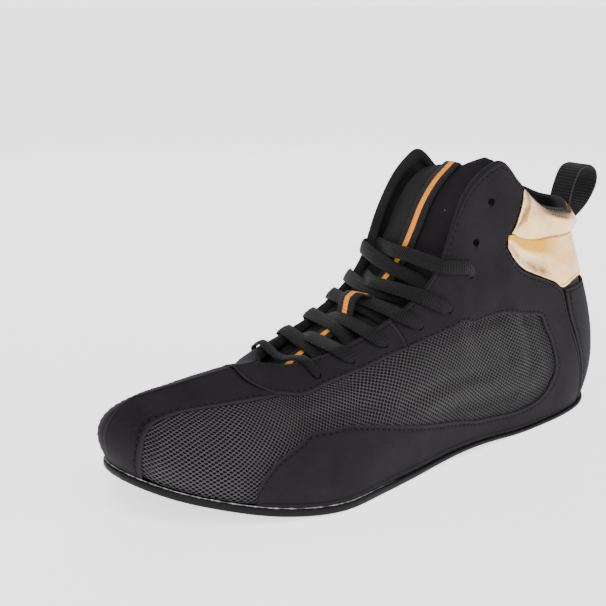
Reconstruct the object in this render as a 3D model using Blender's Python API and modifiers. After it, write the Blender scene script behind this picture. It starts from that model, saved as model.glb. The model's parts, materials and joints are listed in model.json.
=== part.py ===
"""Left wrestling shoe, built as a shoemaker would: one last, and every piece cut or lofted from it.

Metres, +Z up. The toe points to -X, the outer side of the foot is -Y and the floor is z = 0.
The origin is on the floor under the heel's flat patch.
A place on the upper is given by s, the share of the length from heel back to toe tip, and
by h, the share of the wall from the sole's edge (0) to the collar, throat or ridge (1).
"""
import bmesh
import bpy
import numpy as np
from mathutils import Vector

# Driving sizes of the whole shoe
LENGTH = 0.284
BALL_WIDTH = 0.1015
HEEL_WIDTH = 0.066
HEEL_OVERHANG = 0.034        # origin to the heel's back edge, along +X
HEEL_HEIGHT = 0.108          # top of the collar at the back
ANKLE_HEIGHT = 0.137         # peak of the ankle flaps
INSTEP_HEIGHT = 0.076        # throat edge at half length
TOE_HEIGHT = 0.0515          # ridge of the toe box
COLLAR_WIDTH = 0.060
THROAT_WIDTH = 0.044
RIDGE_SHIFT = 0.008          # the ridge leans to the big toe at the tip
RIDGE_LEAN_START = 0.6       # share of the length where that lean starts
RIDGE_LEAN_CURVE = 1.5

# Sole
SOLE_THICKNESS = 0.0034      # at the forefoot
TOE_SPRING = 0.0168
SPRING_START = 0.70
SPRING_CURVE = 1.9
ARCH_HEIGHT = 0.0022
ARCH_SPAN = (0.24, 0.56)     # shares of the length where the arch lifts
SOLE_ROUNDING = 0.0007

# Wall, layers and clearances
CLEAR = 0.0003               # gap between pieces that touch
WALL = 0.0022                # lining, foam and mesh
OVERLAY = 0.0012             # microfibre laid over the mesh
UPPER_INSET = 0.0015         # upper's edge inside the sole's edge
INSOLE_THICKNESS = 0.0025
INSOLE_INSET = 0.0062
SEAM = 0.0004                # gap between neighbouring overlays
CUFF_PAD = 0.0036            # how far the padded collar roll swells
PAD_CURVE = 0.6              # below 1 the roll is full near its seams
PATTERN_REACH = (0.0026, 0.0017)  # a cutting pattern below and above the last

# Tongue, ribbon, laces and pull loop
TONGUE_THICKNESS = 0.0066
TONGUE_MARGIN = 0.0006       # tongue to the inner wall
TONGUE_FULLEST = 1.2         # largest share in the tongue's table
TONGUE_THINNING = 0.55       # share lost towards its side edges
TONGUE_KEEP_OUT = 0.0144     # space above the wall where no tongue may be
RIBBON_WIDTH = 0.011
RIBBON_THICKNESS = 0.0010
RIBBON_RUN = (0.04, 0.98)    # shares of the tongue's length
RIBBON_STEPS = (0, 0.3, 0.4, 0.6, 0.7, 1)  # shares of the mesh: ends, keeper's foot and shoulders
KEEPER_LIFT = 0.0068         # height of the lace keeper in the ribbon
KEEPER_SPAN = (0.382, 0.4565) # shares of the tongue's length
KEEPER_RAMP = 0.016          # share in which it rises
LACE_WIDTH = 0.0062
LACE_THICKNESS = 0.0016
LACE_STACK = 0.0006          # one lace of a crossing lies this much higher
LACE_BEND = 0.45             # where the lace leaves the wall, from its edge to its hole
LACE_LIFT = 0.0010           # under a lace at its eyelet
EYELET_RADIUS = 0.0019
PUNCH_LENGTH = 0.013
LOOP_WIDTH = 0.014
LOOP_THICKNESS = 0.0014
LOOP_HEIGHT = 0.0272
LOOP_DEPTH = 0.0215
LOOP_SINK = 0.33             # share of the loop's height below the collar's top

# Mesh fineness
COLUMNS = 28                 # along each side
THROAT_COLUMN = 19           # the one that lies at the throat's toe end
ROWS = 6                     # up the wall
SOLE_ROWS = 4                # across
TONGUE_GRID = (18, 8)        # along and across
CUFF_GRID = (2, 5)           # along each rib step and across
RIBBON_COLUMNS = 40
LACE_COLUMNS = 9
LOOP_COLUMNS = 28
PUNCH_SIDES = 6

# Sole outline: s, outer half width, inner half width, as shares of the named width
OUTLINE = (
    (0.00, 0.000, 0.000, HEEL_WIDTH),
    (0.06, 0.326, 0.341, HEEL_WIDTH),
    (0.14, 0.444, 0.455, HEEL_WIDTH),
    (0.26, 0.518, 0.485, HEEL_WIDTH),
    (0.38, 0.369, 0.305, BALL_WIDTH),
    (0.50, 0.407, 0.345, BALL_WIDTH),
    (0.62, 0.477, 0.429, BALL_WIDTH),
    (0.72, 0.522, 0.478, BALL_WIDTH),
    (0.82, 0.463, 0.478, BALL_WIDTH),
    (0.90, 0.345, 0.424, BALL_WIDTH),
    (0.96, 0.212, 0.315, BALL_WIDTH),
    (1.00, -0.074, 0.074, BALL_WIDTH),
)

# Thickness of the sole's edge: s, share of SOLE_THICKNESS
SOLE_EDGE = ((0.00, 0.62), (0.35, 0.58), (0.50, 0.76), (0.64, 1.00), (1.00, 1.00))

# Sections of the upper, one row per column of the last. Heights are shares of the row's
# named height, top_y of its named width, and outward swells are shares of BALL_WIDTH.
# s, foot_up, foot_out, crown_down, crown_out, top_s, top_y, top_z, height, width
SECTIONS = (
    (0.000, 0.315, 0.148, 0.296, 0.059, 0.085, 0.000, 1.000, HEEL_HEIGHT, COLLAR_WIDTH),
    (0.050, 0.333, 0.128, 0.278, 0.059, 0.125, 0.333, 1.014, HEEL_HEIGHT, COLLAR_WIDTH),
    (0.100, 0.352, 0.099, 0.296, 0.049, 0.165, 0.433, 1.028, HEEL_HEIGHT, COLLAR_WIDTH),
    (0.150, 0.370, 0.069, 0.315, 0.039, 0.213, 0.467, 1.056, HEEL_HEIGHT, COLLAR_WIDTH),
    (0.200, 0.307, 0.049, 0.277, 0.039, 0.253, 0.483, 0.869, ANKLE_HEIGHT, COLLAR_WIDTH),
    (0.250, 0.321, 0.039, 0.321, 0.039, 0.288, 0.500, 0.927, ANKLE_HEIGHT, COLLAR_WIDTH),
    (0.300, 0.321, 0.039, 0.365, 0.049, 0.331, 0.508, 1.000, ANKLE_HEIGHT, COLLAR_WIDTH),
    (0.340, 0.321, 0.039, 0.365, 0.059, 0.368, 0.483, 0.971, ANKLE_HEIGHT, COLLAR_WIDTH),
    (0.380, 0.307, 0.039, 0.321, 0.079, 0.402, 0.467, 0.905, ANKLE_HEIGHT, COLLAR_WIDTH),
    (0.420, 0.292, 0.039, 0.248, 0.099, 0.432, 0.467, 0.796, ANKLE_HEIGHT, COLLAR_WIDTH),
    (0.460, 0.263, 0.039, 0.175, 0.118, 0.466, 0.450, 0.642, ANKLE_HEIGHT, COLLAR_WIDTH),
    (0.510, 0.421, 0.039, 0.184, 0.148, 0.512, 0.568, 1.000, INSTEP_HEIGHT, THROAT_WIDTH),
    (0.580, 0.368, 0.039, 0.132, 0.167, 0.580, 0.500, 0.875, INSTEP_HEIGHT, THROAT_WIDTH),
    (0.660, 0.329, 0.049, 0.079, 0.187, 0.662, 0.409, 0.770, INSTEP_HEIGHT, THROAT_WIDTH),
    (0.720, 0.466, 0.049, 0.097, 0.207, 0.722, 0.273, 1.078, TOE_HEIGHT, THROAT_WIDTH),
    (0.755, 0.466, 0.049, 0.078, 0.217, 0.755, 0.000, 1.068, TOE_HEIGHT, THROAT_WIDTH),
    (0.830, 0.447, 0.049, 0.078, 0.207, 0.830, 0.000, 1.039, TOE_HEIGHT, THROAT_WIDTH),
    (0.910, 0.408, 0.049, 0.078, 0.158, 0.895, 0.000, 1.000, TOE_HEIGHT, THROAT_WIDTH),
    (0.960, 0.369, 0.049, 0.078, 0.118, 0.932, 0.000, 0.971, TOE_HEIGHT, THROAT_WIDTH),
    (1.000, 0.350, 0.049, 0.078, 0.089, 0.955, 0.000, 0.951, TOE_HEIGHT, THROAT_WIDTH),
)
THROAT_END = 0.755           # in front of this both sides meet on the ridge

# Cutting patterns: each row is a rib of the piece, from (s, h) on one edge to (s, h) on the other
QUARTER_RIBS = (             # round the mesh window, from the eyestay back, down and forward
    (0.550, 0.742, 0.553, 1.000),
    (0.520, 0.723, 0.510, 1.000),
    (0.490, 0.703, 0.468, 1.000),
    (0.465, 0.683, 0.435, 1.000),
    (0.448, 0.655, 0.400, 1.000),
    (0.436, 0.630, 0.365, 1.000),
    (0.427, 0.610, 0.335, 1.000),
    (0.419, 0.590, 0.305, 1.000),
    (0.412, 0.572, 0.270, 1.000),
    (0.405, 0.556, 0.238, 0.985),
    (0.400, 0.547, 0.271, 0.834),
    (0.395, 0.540, 0.303, 0.744),
    (0.365, 0.500, 0.306, 0.734),
    (0.320, 0.477, 0.275, 0.664),
    (0.270, 0.472, 0.235, 0.655),
    (0.225, 0.476, 0.202, 0.650),
    (0.205, 0.470, 0.160, 0.632),
    (0.198, 0.430, 0.132, 0.580),
    (0.177, 0.325, 0.127, 0.470),
    (0.170, 0.229, 0.098, 0.250),
    (0.182, 0.153, 0.072, 0.000),
    (0.221, 0.092, 0.160, 0.000),
    (0.294, 0.074, 0.270, 0.000),
    (0.379, 0.085, 0.370, 0.000),
    (0.491, 0.187, 0.480, 0.000),
    (0.578, 0.296, 0.570, 0.000),
    (0.657, 0.410, 0.650, 0.000),
    (0.705, 0.466, 0.700, 0.000),
    (0.740, 0.448, 0.740, 0.000),
    (0.767, 0.388, 0.770, 0.000),
    (0.798, 0.331, 0.800, 0.000),
    (0.832, 0.226, 0.830, 0.000),
    (0.853, 0.090, 0.850, 0.000),
)
EYESTAY_RIBS = (             # from the quarter forward, round the bottom of the throat
    (0.557, 0.750, 0.560, 1.000),
    (0.593, 0.763, 0.600, 1.000),
    (0.639, 0.768, 0.645, 1.000),
    (0.685, 0.758, 0.685, 1.000),
    (0.715, 0.728, 0.710, 1.000),
    (0.738, 0.692, 0.728, 1.000),
    (0.756, 0.692, 0.740, 1.000),
    (0.773, 0.750, 0.748, 1.000),
    (0.785, 0.840, 0.752, 1.000),
    (0.789, 0.930, 0.756, 1.000),
    (0.790, 1.000, 0.762, 1.000),
)
TOE_CAP_RIBS = (             # vamp strip, then the cap round the toe
    (0.757, 0.681, 0.762, 0.697),
    (0.775, 0.684, 0.780, 0.760),
    (0.800, 0.688, 0.791, 0.860),
    (0.830, 0.694, 0.795, 1.000),
    (0.865, 0.697, 0.840, 1.000),
    (0.900, 0.688, 0.880, 1.000),
    (0.928, 0.660, 0.920, 1.000),
    (0.950, 0.612, 0.960, 1.000),
    (0.967, 0.500, 1.000, 1.000),
    (0.975, 0.350, 1.000, 0.700),
    (0.981, 0.180, 1.000, 0.400),
    (0.985, 0.000, 1.000, 0.000),
)
HEEL_PATCH_RIBS = (          # lower metallic piece, from its front point to the heel's middle
    (0.298, 0.722, 0.296, 0.750),
    (0.282, 0.688, 0.276, 0.766),
    (0.252, 0.668, 0.246, 0.781),
    (0.202, 0.657, 0.190, 0.811),
    (0.152, 0.633, 0.150, 0.836),
    (0.129, 0.603, 0.128, 0.846),
    (0.095, 0.634, 0.092, 0.855),
    (0.050, 0.650, 0.050, 0.863),
    (0.000, 0.655, 0.000, 0.866),
)
HEEL_CUFF_RIBS = (           # padded roll, from its front edge to the heel's middle
    (0.283, 0.774, 0.230, 1.000),
    (0.246, 0.789, 0.205, 1.000),
    (0.190, 0.820, 0.160, 1.000),
    (0.131, 0.853, 0.110, 1.000),
    (0.060, 0.870, 0.050, 1.000),
    (0.000, 0.874, 0.000, 1.000),
)
COUNTER_RIBS = (             # strip up the back of the heel, from its side seam to the middle
    (0.064, 0.000, 0.000, 0.000),
    (0.090, 0.224, 0.000, 0.200),
    (0.108, 0.362, 0.000, 0.360),
    (0.121, 0.479, 0.000, 0.500),
    (0.123, 0.592, 0.000, 0.642),
)

# Lace holes, toe to top: s, h, the s where that lace passes the throat's edge, and how much
# higher it stands there than at its hole
EYELETS = (
    (0.699, 0.835, 0.697, 0.0006),
    (0.640, 0.862, 0.645, 0.0006),
    (0.580, 0.858, 0.592, 0.0007),
    (0.513, 0.830, 0.540, 0.0012),
    (0.452, 0.765, 0.502, 0.0026),
    (0.392, 0.725, 0.462, 0.0028),
    (0.372, 0.815, 0.435, 0.0028),
    (0.330, 0.900, 0.400, 0.0028),
)
LACED_PAIRS = 6

# Tongue, one row per station of its outer face from the toe end to the top. Rise is above the
# throat's edge, or the flap's, in shares of TONGUE_THICKNESS; the widths are shares of BALL_WIDTH
# back from the toe tip in shares of LENGTH, rise, half_width, thickness, wrap
TONGUE = (
    (0.214, -1.85, 0.150, 0.45, 0.025),
    (0.296, -1.02, 0.200, 0.53, 0.030),
    (0.325, -0.59, 0.220, 0.68, 0.040),
    (0.366, -0.18, 0.240, 0.76, 0.055),
    (0.416, 0.10, 0.258, 0.83, 0.070),
    (0.468, 0.33, 0.270, 0.91, 0.080),
    (0.517, 0.45, 0.277, 0.98, 0.090),
    (0.548, 0.02, 0.280, 1.05, 0.100),
    (0.567, -0.49, 0.282, 1.05, 0.104),
    (0.588, -0.46, 0.285, 1.10, 0.100),
    (0.616, -0.45, 0.285, 1.15, 0.096),
    (0.648, -0.32, 0.272, 0.90, 0.092),
    (0.660, -0.22, 0.255, 0.45, 0.090),
)

# Pull loop seen from the side: shares of LOOP_DEPTH behind the collar roll and of LOOP_HEIGHT
PULL_LOOP = (
    (0.050, 0.040),
    (0.060, 0.330),
    (0.170, 0.640),
    (0.380, 0.930),
    (0.700, 1.000),
    (0.960, 0.880),
    (1.000, 0.640),
    (0.760, 0.330),
    (0.400, 0.100),
    (0.150, 0.000),
)

LATERAL, MEDIAL = -1, 1
UP = np.array((0.0, 0.0, 1.0))


# Curves through tables
def place_of(s):
    """Even parameter along the foot: crowded at heel and toe, where the outline turns."""
    return np.arccos(1 - 2 * np.clip(s, 0, 1)) / np.pi


def share_of(q):
    return (1 - np.cos(np.pi * q)) / 2


def smooth(knots, values, at, level_ends=False, limited=False):
    """A smooth curve through the values, read at the given places.

    Level ends suit what is alike on both sides of the heel's and toe's middle lines.
    A limited curve never swings past its own values, which keeps a pattern's corners.
    """
    knots = np.asarray(knots, float)
    values = np.asarray(values, float)
    at = np.clip(np.asarray(at, float), knots[0], knots[-1])
    rises = (values[1:] - values[:-1]) / (knots[1:] - knots[:-1])
    slopes = np.empty_like(values)
    slopes[1:-1] = (values[2:] - values[:-2]) / (knots[2:] - knots[:-2])
    if limited:
        product = rises[1:] * rises[:-1]
        total = np.where(product > 0, rises[1:] + rises[:-1], 1.0)
        slopes[1:-1] = np.where(product > 0, 2 * product / total, 0.0)
    slopes[0] = 0.0 if level_ends else rises[0]
    slopes[-1] = 0.0 if level_ends else rises[-1]
    i = np.clip(np.searchsorted(knots, at, side="right") - 1, 0, len(knots) - 2)
    step = knots[i + 1] - knots[i]
    t = (at - knots[i]) / step
    start = (2 * t**3 - 3 * t**2 + 1) * values[i] + (t**3 - 2 * t**2 + t) * step * slopes[i]
    end = (3 * t**2 - 2 * t**3) * values[i + 1] + (t**3 - t**2) * step * slopes[i + 1]
    return start + end


def column(table, key, q, level_ends=True):
    """A column of a table whose first column is s, read at q."""
    return smooth([place_of(row[0]) for row in table], [key(row) for row in table], q, level_ends)


# The last
def outline(q, side):
    """Sole edge in plan."""
    pick = 1 if side == LATERAL else 2
    y = side * column(OUTLINE, lambda row: row[pick] * row[3], q, level_ends=False)
    return np.stack((HEEL_OVERHANG - share_of(q) * LENGTH, y), -1)


def outward(q, side):
    """Direction square to the sole's edge, in plan."""
    step = 1e-3
    ahead = outline(np.clip(q + step, 0, 1), side) - outline(np.clip(q - step, 0, 1), side)
    normal = np.stack((side * ahead[..., 1], -side * ahead[..., 0]), -1)
    normal[q < step] = (1.0, 0.0)
    normal[q > 1 - step] = (-1.0, 0.0)
    return normal / np.linalg.norm(normal, axis=-1, keepdims=True)


def ground(s):
    """Height of the sole's underside: flat heel and ball, arch between, spring at the toe."""
    spring = TOE_SPRING * np.clip((s - SPRING_START) / (1 - SPRING_START), 0, 1) ** SPRING_CURVE
    start, end = ARCH_SPAN
    arch = ARCH_HEIGHT * np.sin(np.pi * np.clip((s - start) / (end - start), 0, 1)) ** 2
    return spring + arch


def sole_top(q):
    s = share_of(q)
    edge = smooth([place_of(row[0]) for row in SOLE_EDGE], [row[1] for row in SOLE_EDGE], q)
    return ground(s) + SOLE_THICKNESS * edge


def last(q, h, side):
    """Outer face of the shoe at place q along the foot and share h up the wall."""
    q = np.asarray(q, float)
    h = np.asarray(h, float)[..., None]
    normal = outward(q, side)
    out = np.concatenate((normal, 0 * normal[..., :1]), -1)
    foot = np.concatenate((outline(q, side) - normal * UPPER_INSET, sole_top(q)[..., None] + CLEAR), -1)
    foot_up = column(SECTIONS, lambda row: row[1] * row[8], q)[..., None]
    foot_out = column(SECTIONS, lambda row: row[2] * BALL_WIDTH, q)[..., None]
    crown_down = column(SECTIONS, lambda row: row[3] * row[8], q)[..., None]
    crown_out = column(SECTIONS, lambda row: row[4] * BALL_WIDTH, q)[..., None]
    top_x = HEEL_OVERHANG - column(SECTIONS, lambda row: row[5] * LENGTH, q)
    half_gap = column(SECTIONS, lambda row: row[6] * row[9], q, level_ends=False)
    half_gap = np.where(q > place_of(THROAT_END), 0, np.clip(half_gap, 0, None))
    tip = np.clip((share_of(q) - RIDGE_LEAN_START) / (1 - RIDGE_LEAN_START), 0, 1)
    lean = RIDGE_SHIFT * tip**RIDGE_LEAN_CURVE
    top_z = column(SECTIONS, lambda row: row[7] * row[8], q)
    top = np.stack((top_x, side * half_gap + lean, top_z), -1)
    low = foot + UP * foot_up + out * foot_out
    high = top - UP * crown_down + out * crown_out
    return (1 - h)**3 * foot + 3 * (1 - h)**2 * h * low + 3 * (1 - h) * h**2 * high + h**3 * top


def last_normal(q, h, side):
    """Outward direction of the last at a place."""
    step = 2e-3
    along = last(np.clip(q + step, 0, 1), h, side) - last(np.clip(q - step, 0, 1), h, side)
    up_wall = last(q, np.clip(h + step, 0, 1), side) - last(q, np.clip(h - step, 0, 1), side)
    normal = side * np.cross(along, up_wall)
    normal[(q < step) | (q > 1 - step), 1] = 0.0
    return normal / np.linalg.norm(normal, axis=-1, keepdims=True)


# Building helpers
def new_collection(name):
    collection = bpy.data.collections.new(name)
    bpy.context.scene.collection.children.link(collection)
    return collection


def material(name, colour, roughness, metallic=0.0):
    made = bpy.data.materials.new(name)
    made.use_nodes = True
    shader = made.node_tree.nodes["Principled BSDF"]
    shader.inputs["Base Color"].default_value = (*colour, 1.0)
    shader.inputs["Roughness"].default_value = roughness
    shader.inputs["Metallic"].default_value = metallic
    return made


def grid_sheet(columns, rows, place, flip=False):
    """A grid whose every point (t, w), both 0 to 1, is moved to place(t, w)."""
    sheet = bmesh.new()
    bmesh.ops.create_grid(sheet, x_segments=columns, y_segments=rows, size=0.5)
    t = np.array([v.co.x + 0.5 for v in sheet.verts])
    w = np.array([v.co.y + 0.5 for v in sheet.verts])
    for vertex, point in zip(sheet.verts, place(t, w)):
        vertex.co = Vector(point)
    if flip:
        bmesh.ops.reverse_faces(sheet, faces=sheet.faces)
    return sheet


def as_object(name, sheets, collection, finish, weld=2e-5):
    """Joins sheets into one object and welds the points where they meet."""
    mesh = bpy.data.meshes.new(name)
    joined = bmesh.new()
    for sheet in sheets:
        sheet.to_mesh(mesh)
        joined.from_mesh(mesh)
        sheet.free()
    bmesh.ops.remove_doubles(joined, verts=joined.verts, dist=weld)
    bmesh.ops.dissolve_degenerate(joined, dist=weld, edges=joined.edges)
    joined.to_mesh(mesh)
    joined.free()
    mesh.materials.append(finish)
    made = bpy.data.objects.new(name, mesh)
    collection.objects.link(made)
    mesh.shade_smooth()
    return made


def thicken(piece, inner, outer):
    """Gives a sheet its thickness, from inner to outer along its normals."""
    wall = piece.modifiers.new("thickness", "SOLIDIFY")
    wall.thickness = outer - inner
    wall.offset = 2 * outer / (outer - inner) - 1
    wall.use_quality_normals = True
    return piece


def boolean(piece, other, operation):
    cut = piece.modifiers.new(operation.lower(), "BOOLEAN")
    cut.operation = operation
    cut.object = other
    cut.solver = "EXACT"


def as_cutter(piece):
    piece.hide_render = True
    piece.display_type = "WIRE"
    return piece


def last_sheet(name, collection, finish):
    """The whole outer face of the shoe as one open sheet."""
    def warp(t):
        return np.interp(t, (0, THROAT_COLUMN / COLUMNS, 1), (0, place_of(THROAT_END), 1))

    sides = [
        grid_sheet(COLUMNS, ROWS, lambda t, w, side=side: last(warp(t), w, side), flip=side == LATERAL)
        for side in (LATERAL, MEDIAL)
    ]
    for half in sides:
        bmesh.ops.triangulate(half, faces=half.faces, quad_method="FIXED")
    return as_object(name, sides, collection, finish)


def rib_places(ribs, t, w, seams):
    """Places (q, h) on a pattern. Seams says which edges leave room: first, last, start, end."""
    knots = np.linspace(0, 1, len(ribs))
    ends = [[place_of(row[0]) for row in ribs], [row[1] for row in ribs],
            [place_of(row[2]) for row in ribs], [row[3] for row in ribs]]
    first, final, start, end = seams
    reach = SEAM / 2 / LENGTH
    t = first * reach + t * (1 - (first + final) * reach)
    q0, h0, q1, h1 = (smooth(knots, values, t, limited=True) for values in ends)
    away = np.hypot((q1 - q0) * LENGTH, (h1 - h0) * HEEL_HEIGHT)
    room = SEAM / 2 / np.maximum(away, SEAM * 2)
    w = start * room + w * (1 - (start + end) * room)
    return np.clip(q0 + (q1 - q0) * w, 0, 1), np.clip(h0 + (h1 - h0) * w, 0, 1)


def pattern(name, ribs, sides, collection, finish, seams, fineness=(1, 4), swell=0.0):
    """A sheet on the last, cut to the pattern's ribs on one side or both."""
    def place(t, w, side):
        q, h = rib_places(ribs, t, w, seams)
        point = last(q, h, side)
        pad = swell * np.sin(np.pi * np.clip(w, 0, 1)) ** PAD_CURVE
        return point + last_normal(q, h, side) * pad[..., None]

    count = (len(ribs) - 1) * fineness[0]
    halves = [
        grid_sheet(count, fineness[1], lambda t, w, side=side: place(t, w, side),
                   flip=runs_forward(ribs) == (side == LATERAL))
        for side in sides
    ]
    return as_object(name, halves, collection, finish, weld=5e-5)


def runs_forward(ribs):
    """True where a pattern's ribs, taken in order, turn from the toe direction to upwards."""
    turn = 0.0
    for near, far in zip(ribs[:-1], ribs[1:]):
        along = (place_of(far[0]) - place_of(near[0]), far[1] - near[1])
        across = (place_of(near[2]) - place_of(near[0]), near[3] - near[1])
        turn += along[0] * across[1] - along[1] * across[0]
    return turn > 0


# Tongue
def edge_height(x):
    """Height of the upper's own edge or ridge above a place x."""
    q = np.linspace(0, 1, 400)
    edge = last(q, np.ones_like(q), LATERAL)
    return np.interp(x, edge[::-1, 0], edge[::-1, 2])


def tongue_line(t):
    """x and z of the tongue's middle line."""
    knots = np.linspace(0, 1, len(TONGUE))
    back = np.array([row[0] for row in TONGUE])
    along = HEEL_OVERHANG - LENGTH * (1 - back)
    up = edge_height(along) + np.array([row[1] for row in TONGUE]) * TONGUE_THICKNESS
    return smooth(knots, along, t), smooth(knots, up, t)


def tongue_frame(t):
    """Middle line of the tongue's outer face and its outward normal."""
    step = 4e-3
    x, z = tongue_line(t)
    ahead_x, ahead_z = tongue_line(np.clip(t + step, 0, 1))
    behind_x, behind_z = tongue_line(np.clip(t - step, 0, 1))
    run_x = ahead_x - behind_x
    run_z = ahead_z - behind_z
    reach = np.hypot(run_x, run_z)
    middle = np.stack((x, 0 * x, z), -1)
    return middle, np.stack((-run_z / reach, 0 * run_x, run_x / reach), -1)


def tongue_face(t, w):
    """Outer face of the tongue, crowned, its sides wrapping back round the foot."""
    knots = np.linspace(0, 1, len(TONGUE))
    middle, normal = tongue_frame(t)
    half = smooth(knots, [row[2] for row in TONGUE], t) * BALL_WIDTH
    wrap = smooth(knots, [row[4] for row in TONGUE], t) * BALL_WIDTH
    across = (2 * w - 1)
    point = middle - normal * (wrap * across**2)[..., None]
    point[..., 1] = half * across
    return point - normal * (RIBBON_THICKNESS + 2 * CLEAR)


def tongue_depth(t, w):
    knots = np.linspace(0, 1, len(TONGUE))
    thickness = smooth(knots, [row[3] for row in TONGUE], t) * TONGUE_THICKNESS
    return thickness * (1 - TONGUE_THINNING * (2 * w - 1)**4)


def keeper(t):
    """How far the ribbon stands off the tongue where it keeps the lace."""
    start, end = KEEPER_SPAN
    ramp = np.clip(np.minimum(t - start, end - t) / KEEPER_RAMP, 0, 1)
    return KEEPER_LIFT * ramp**2 * (3 - 2 * ramp)


# Laces
def lace_rise(side, pair, stack):
    """The lace from its hole to the throat's edge: points and outward normals."""
    s, h, edge_s, rise = EYELETS[pair]
    q = place_of(np.array([s, edge_s + (s - edge_s) * LACE_BEND, edge_s]))
    level = np.array([h, 1 + (h - 1) * LACE_BEND, 1.0])
    normal = last_normal(q, level, side)
    standing = LACE_THICKNESS / 2 + LACE_LIFT + stack + np.array([[0.0], [0.7], [1.0]]) * rise
    return last(q, level, side) + normal * standing, normal


def lace_route(side, pair, stack):
    """Middle line and normals of one lace: up from its hole, over its own edge and the tongue.

    The toe's bar ends over the other hole. The rest end at the other edge, under the lace below.
    """
    start, start_normal = lace_rise(side, pair, stack)
    end, end_normal = lace_rise(-side, max(pair - 1, 0), 0.0)
    if pair > 0:
        end, end_normal = end[2:], end_normal[2:]
    edges = (start[-1] + end[-1]) / 2
    t = tongue_at(edges[0])
    centre, facing = tongue_frame(np.array([t]))
    over = centre[0] + facing[0] * (LACE_THICKNESS / 2 + 2 * CLEAR + stack)
    if KEEPER_SPAN[0] < t < KEEPER_SPAN[1]:
        over = over - facing[0] * (RIBBON_THICKNESS + CLEAR)
    over[2] = max(over[2], edges[2])
    path = np.vstack((start, over, end[::-1]))
    normals = np.vstack((start_normal, facing, end_normal[::-1]))
    return path, normals


def tongue_at(x):
    """Share of the tongue's length where its middle line passes x."""
    shares = np.linspace(0, 1, 400)
    middle, _ = tongue_frame(shares)
    return float(np.interp(x, middle[:, 0], shares))


def strip(path, normals, width, thickness, segments, name, collection, finish):
    """A flat band along a path, its faces looking along the normals."""
    steps = np.linalg.norm(np.diff(path, axis=0), axis=1)
    knots = np.concatenate(((0.0,), np.cumsum(steps))) / steps.sum()

    def place(t, w):
        middle = np.stack([smooth(knots, path[:, i], t) for i in range(3)], -1)
        facing = np.stack([smooth(knots, normals[:, i], t) for i in range(3)], -1)
        ahead = np.stack([smooth(knots, path[:, i], np.clip(t + 0.01, 0, 1)) for i in range(3)], -1)
        behind = np.stack([smooth(knots, path[:, i], np.clip(t - 0.01, 0, 1)) for i in range(3)], -1)
        aside = np.cross(facing, ahead - behind)
        aside /= np.linalg.norm(aside, axis=-1, keepdims=True)
        return middle + aside * ((w - 0.5) * width)[..., None]

    made = as_object(name, [grid_sheet(segments, 1, place)], collection, finish)
    return thicken(made, -thickness / 2, thickness / 2)


# The pieces
def build_outsole(parts, finish):
    """One rubber sheet with the true outline; its underside is flat at heel and ball."""
    sole = bmesh.new()
    bmesh.ops.create_grid(sole, x_segments=COLUMNS, y_segments=SOLE_ROWS, size=0.5)
    q = np.array([v.co.x + 0.5 for v in sole.verts])
    w = np.array([v.co.y + 0.5 for v in sole.verts])[:, None]
    edge = outline(q, LATERAL) * (1 - w) + outline(q, MEDIAL) * w
    low = np.concatenate((edge, ground(share_of(q))[:, None]), -1)
    high = np.concatenate((edge, sole_top(q)[:, None]), -1)
    bottom = list(sole.verts)
    raised = bmesh.ops.extrude_face_region(sole, geom=list(sole.faces))["geom"]
    top = [item for item in raised if isinstance(item, bmesh.types.BMVert)]
    top.sort(key=lambda v: (round(v.co.y, 5), round(v.co.x, 5)))
    order = sorted(range(len(bottom)), key=lambda i: (round(bottom[i].co.y, 5), round(bottom[i].co.x, 5)))
    for index, upper_vertex in zip(order, top):
        upper_vertex.co = Vector(high[index])
    for vertex, point in zip(bottom, low):
        vertex.co = Vector(point)
    bmesh.ops.remove_doubles(sole, verts=sole.verts, dist=2e-5)
    bmesh.ops.dissolve_degenerate(sole, dist=2e-5, edges=sole.edges)
    bmesh.ops.recalc_face_normals(sole, faces=sole.faces)
    made = as_object("outsole", [sole], parts, finish)
    rounding = made.modifiers.new("rounding", "BEVEL")
    rounding.width = SOLE_ROUNDING
    rounding.segments = 1
    rounding.limit_method = "ANGLE"
    rounding.angle_limit = np.radians(50)


def build_insole(parts, finish):
    """Foam board inside the upper, seated on the outsole."""
    def place(t, w):
        edges = []
        for side in (LATERAL, MEDIAL):
            edges.append(outline(t, side) - outward(t, side) * INSOLE_INSET)
        plan = edges[0] * (1 - w[:, None]) + edges[1] * w[:, None]
        under = sole_top(place_of((HEEL_OVERHANG - plan[:, :1]) / LENGTH))
        return np.concatenate((plan, under + CLEAR), -1)

    board = as_object("insole", [grid_sheet(COLUMNS, SOLE_ROWS, place, flip=True)], parts, finish)
    thicken(board, 0.0, INSOLE_THICKNESS)


def build_eyelet_cutter(cutters, finish):
    """Sixteen short round punches, square to the wall."""
    mesh = bpy.data.meshes.new("eyelet_punches")
    punches = bmesh.new()
    for side in (LATERAL, MEDIAL):
        for s, h, *_ in EYELETS:
            q = place_of(np.array([s]))
            level = np.array([h])
            point = Vector(last(q, level, side)[0])
            normal = Vector(last_normal(q, level, side)[0])
            turn = normal.to_track_quat("Z", "Y").to_matrix().to_4x4()
            turn.translation = point
            bmesh.ops.create_cone(punches, cap_ends=True, segments=PUNCH_SIDES, radius1=EYELET_RADIUS,
                                  radius2=EYELET_RADIUS, depth=PUNCH_LENGTH, matrix=turn)
    punches.to_mesh(mesh)
    punches.free()
    mesh.materials.append(finish)
    made = bpy.data.objects.new("eyelet_punches", mesh)
    cutters.objects.link(made)
    return as_cutter(made)


def build_upper(parts, punches, finish):
    """Lining, foam and mesh as one hollow wall, open at collar, throat and underneath."""
    outer = -(OVERLAY + CLEAR)
    upper = thicken(last_sheet("upper", parts, finish), outer - WALL, outer)
    boolean(upper, punches, "DIFFERENCE")


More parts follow.
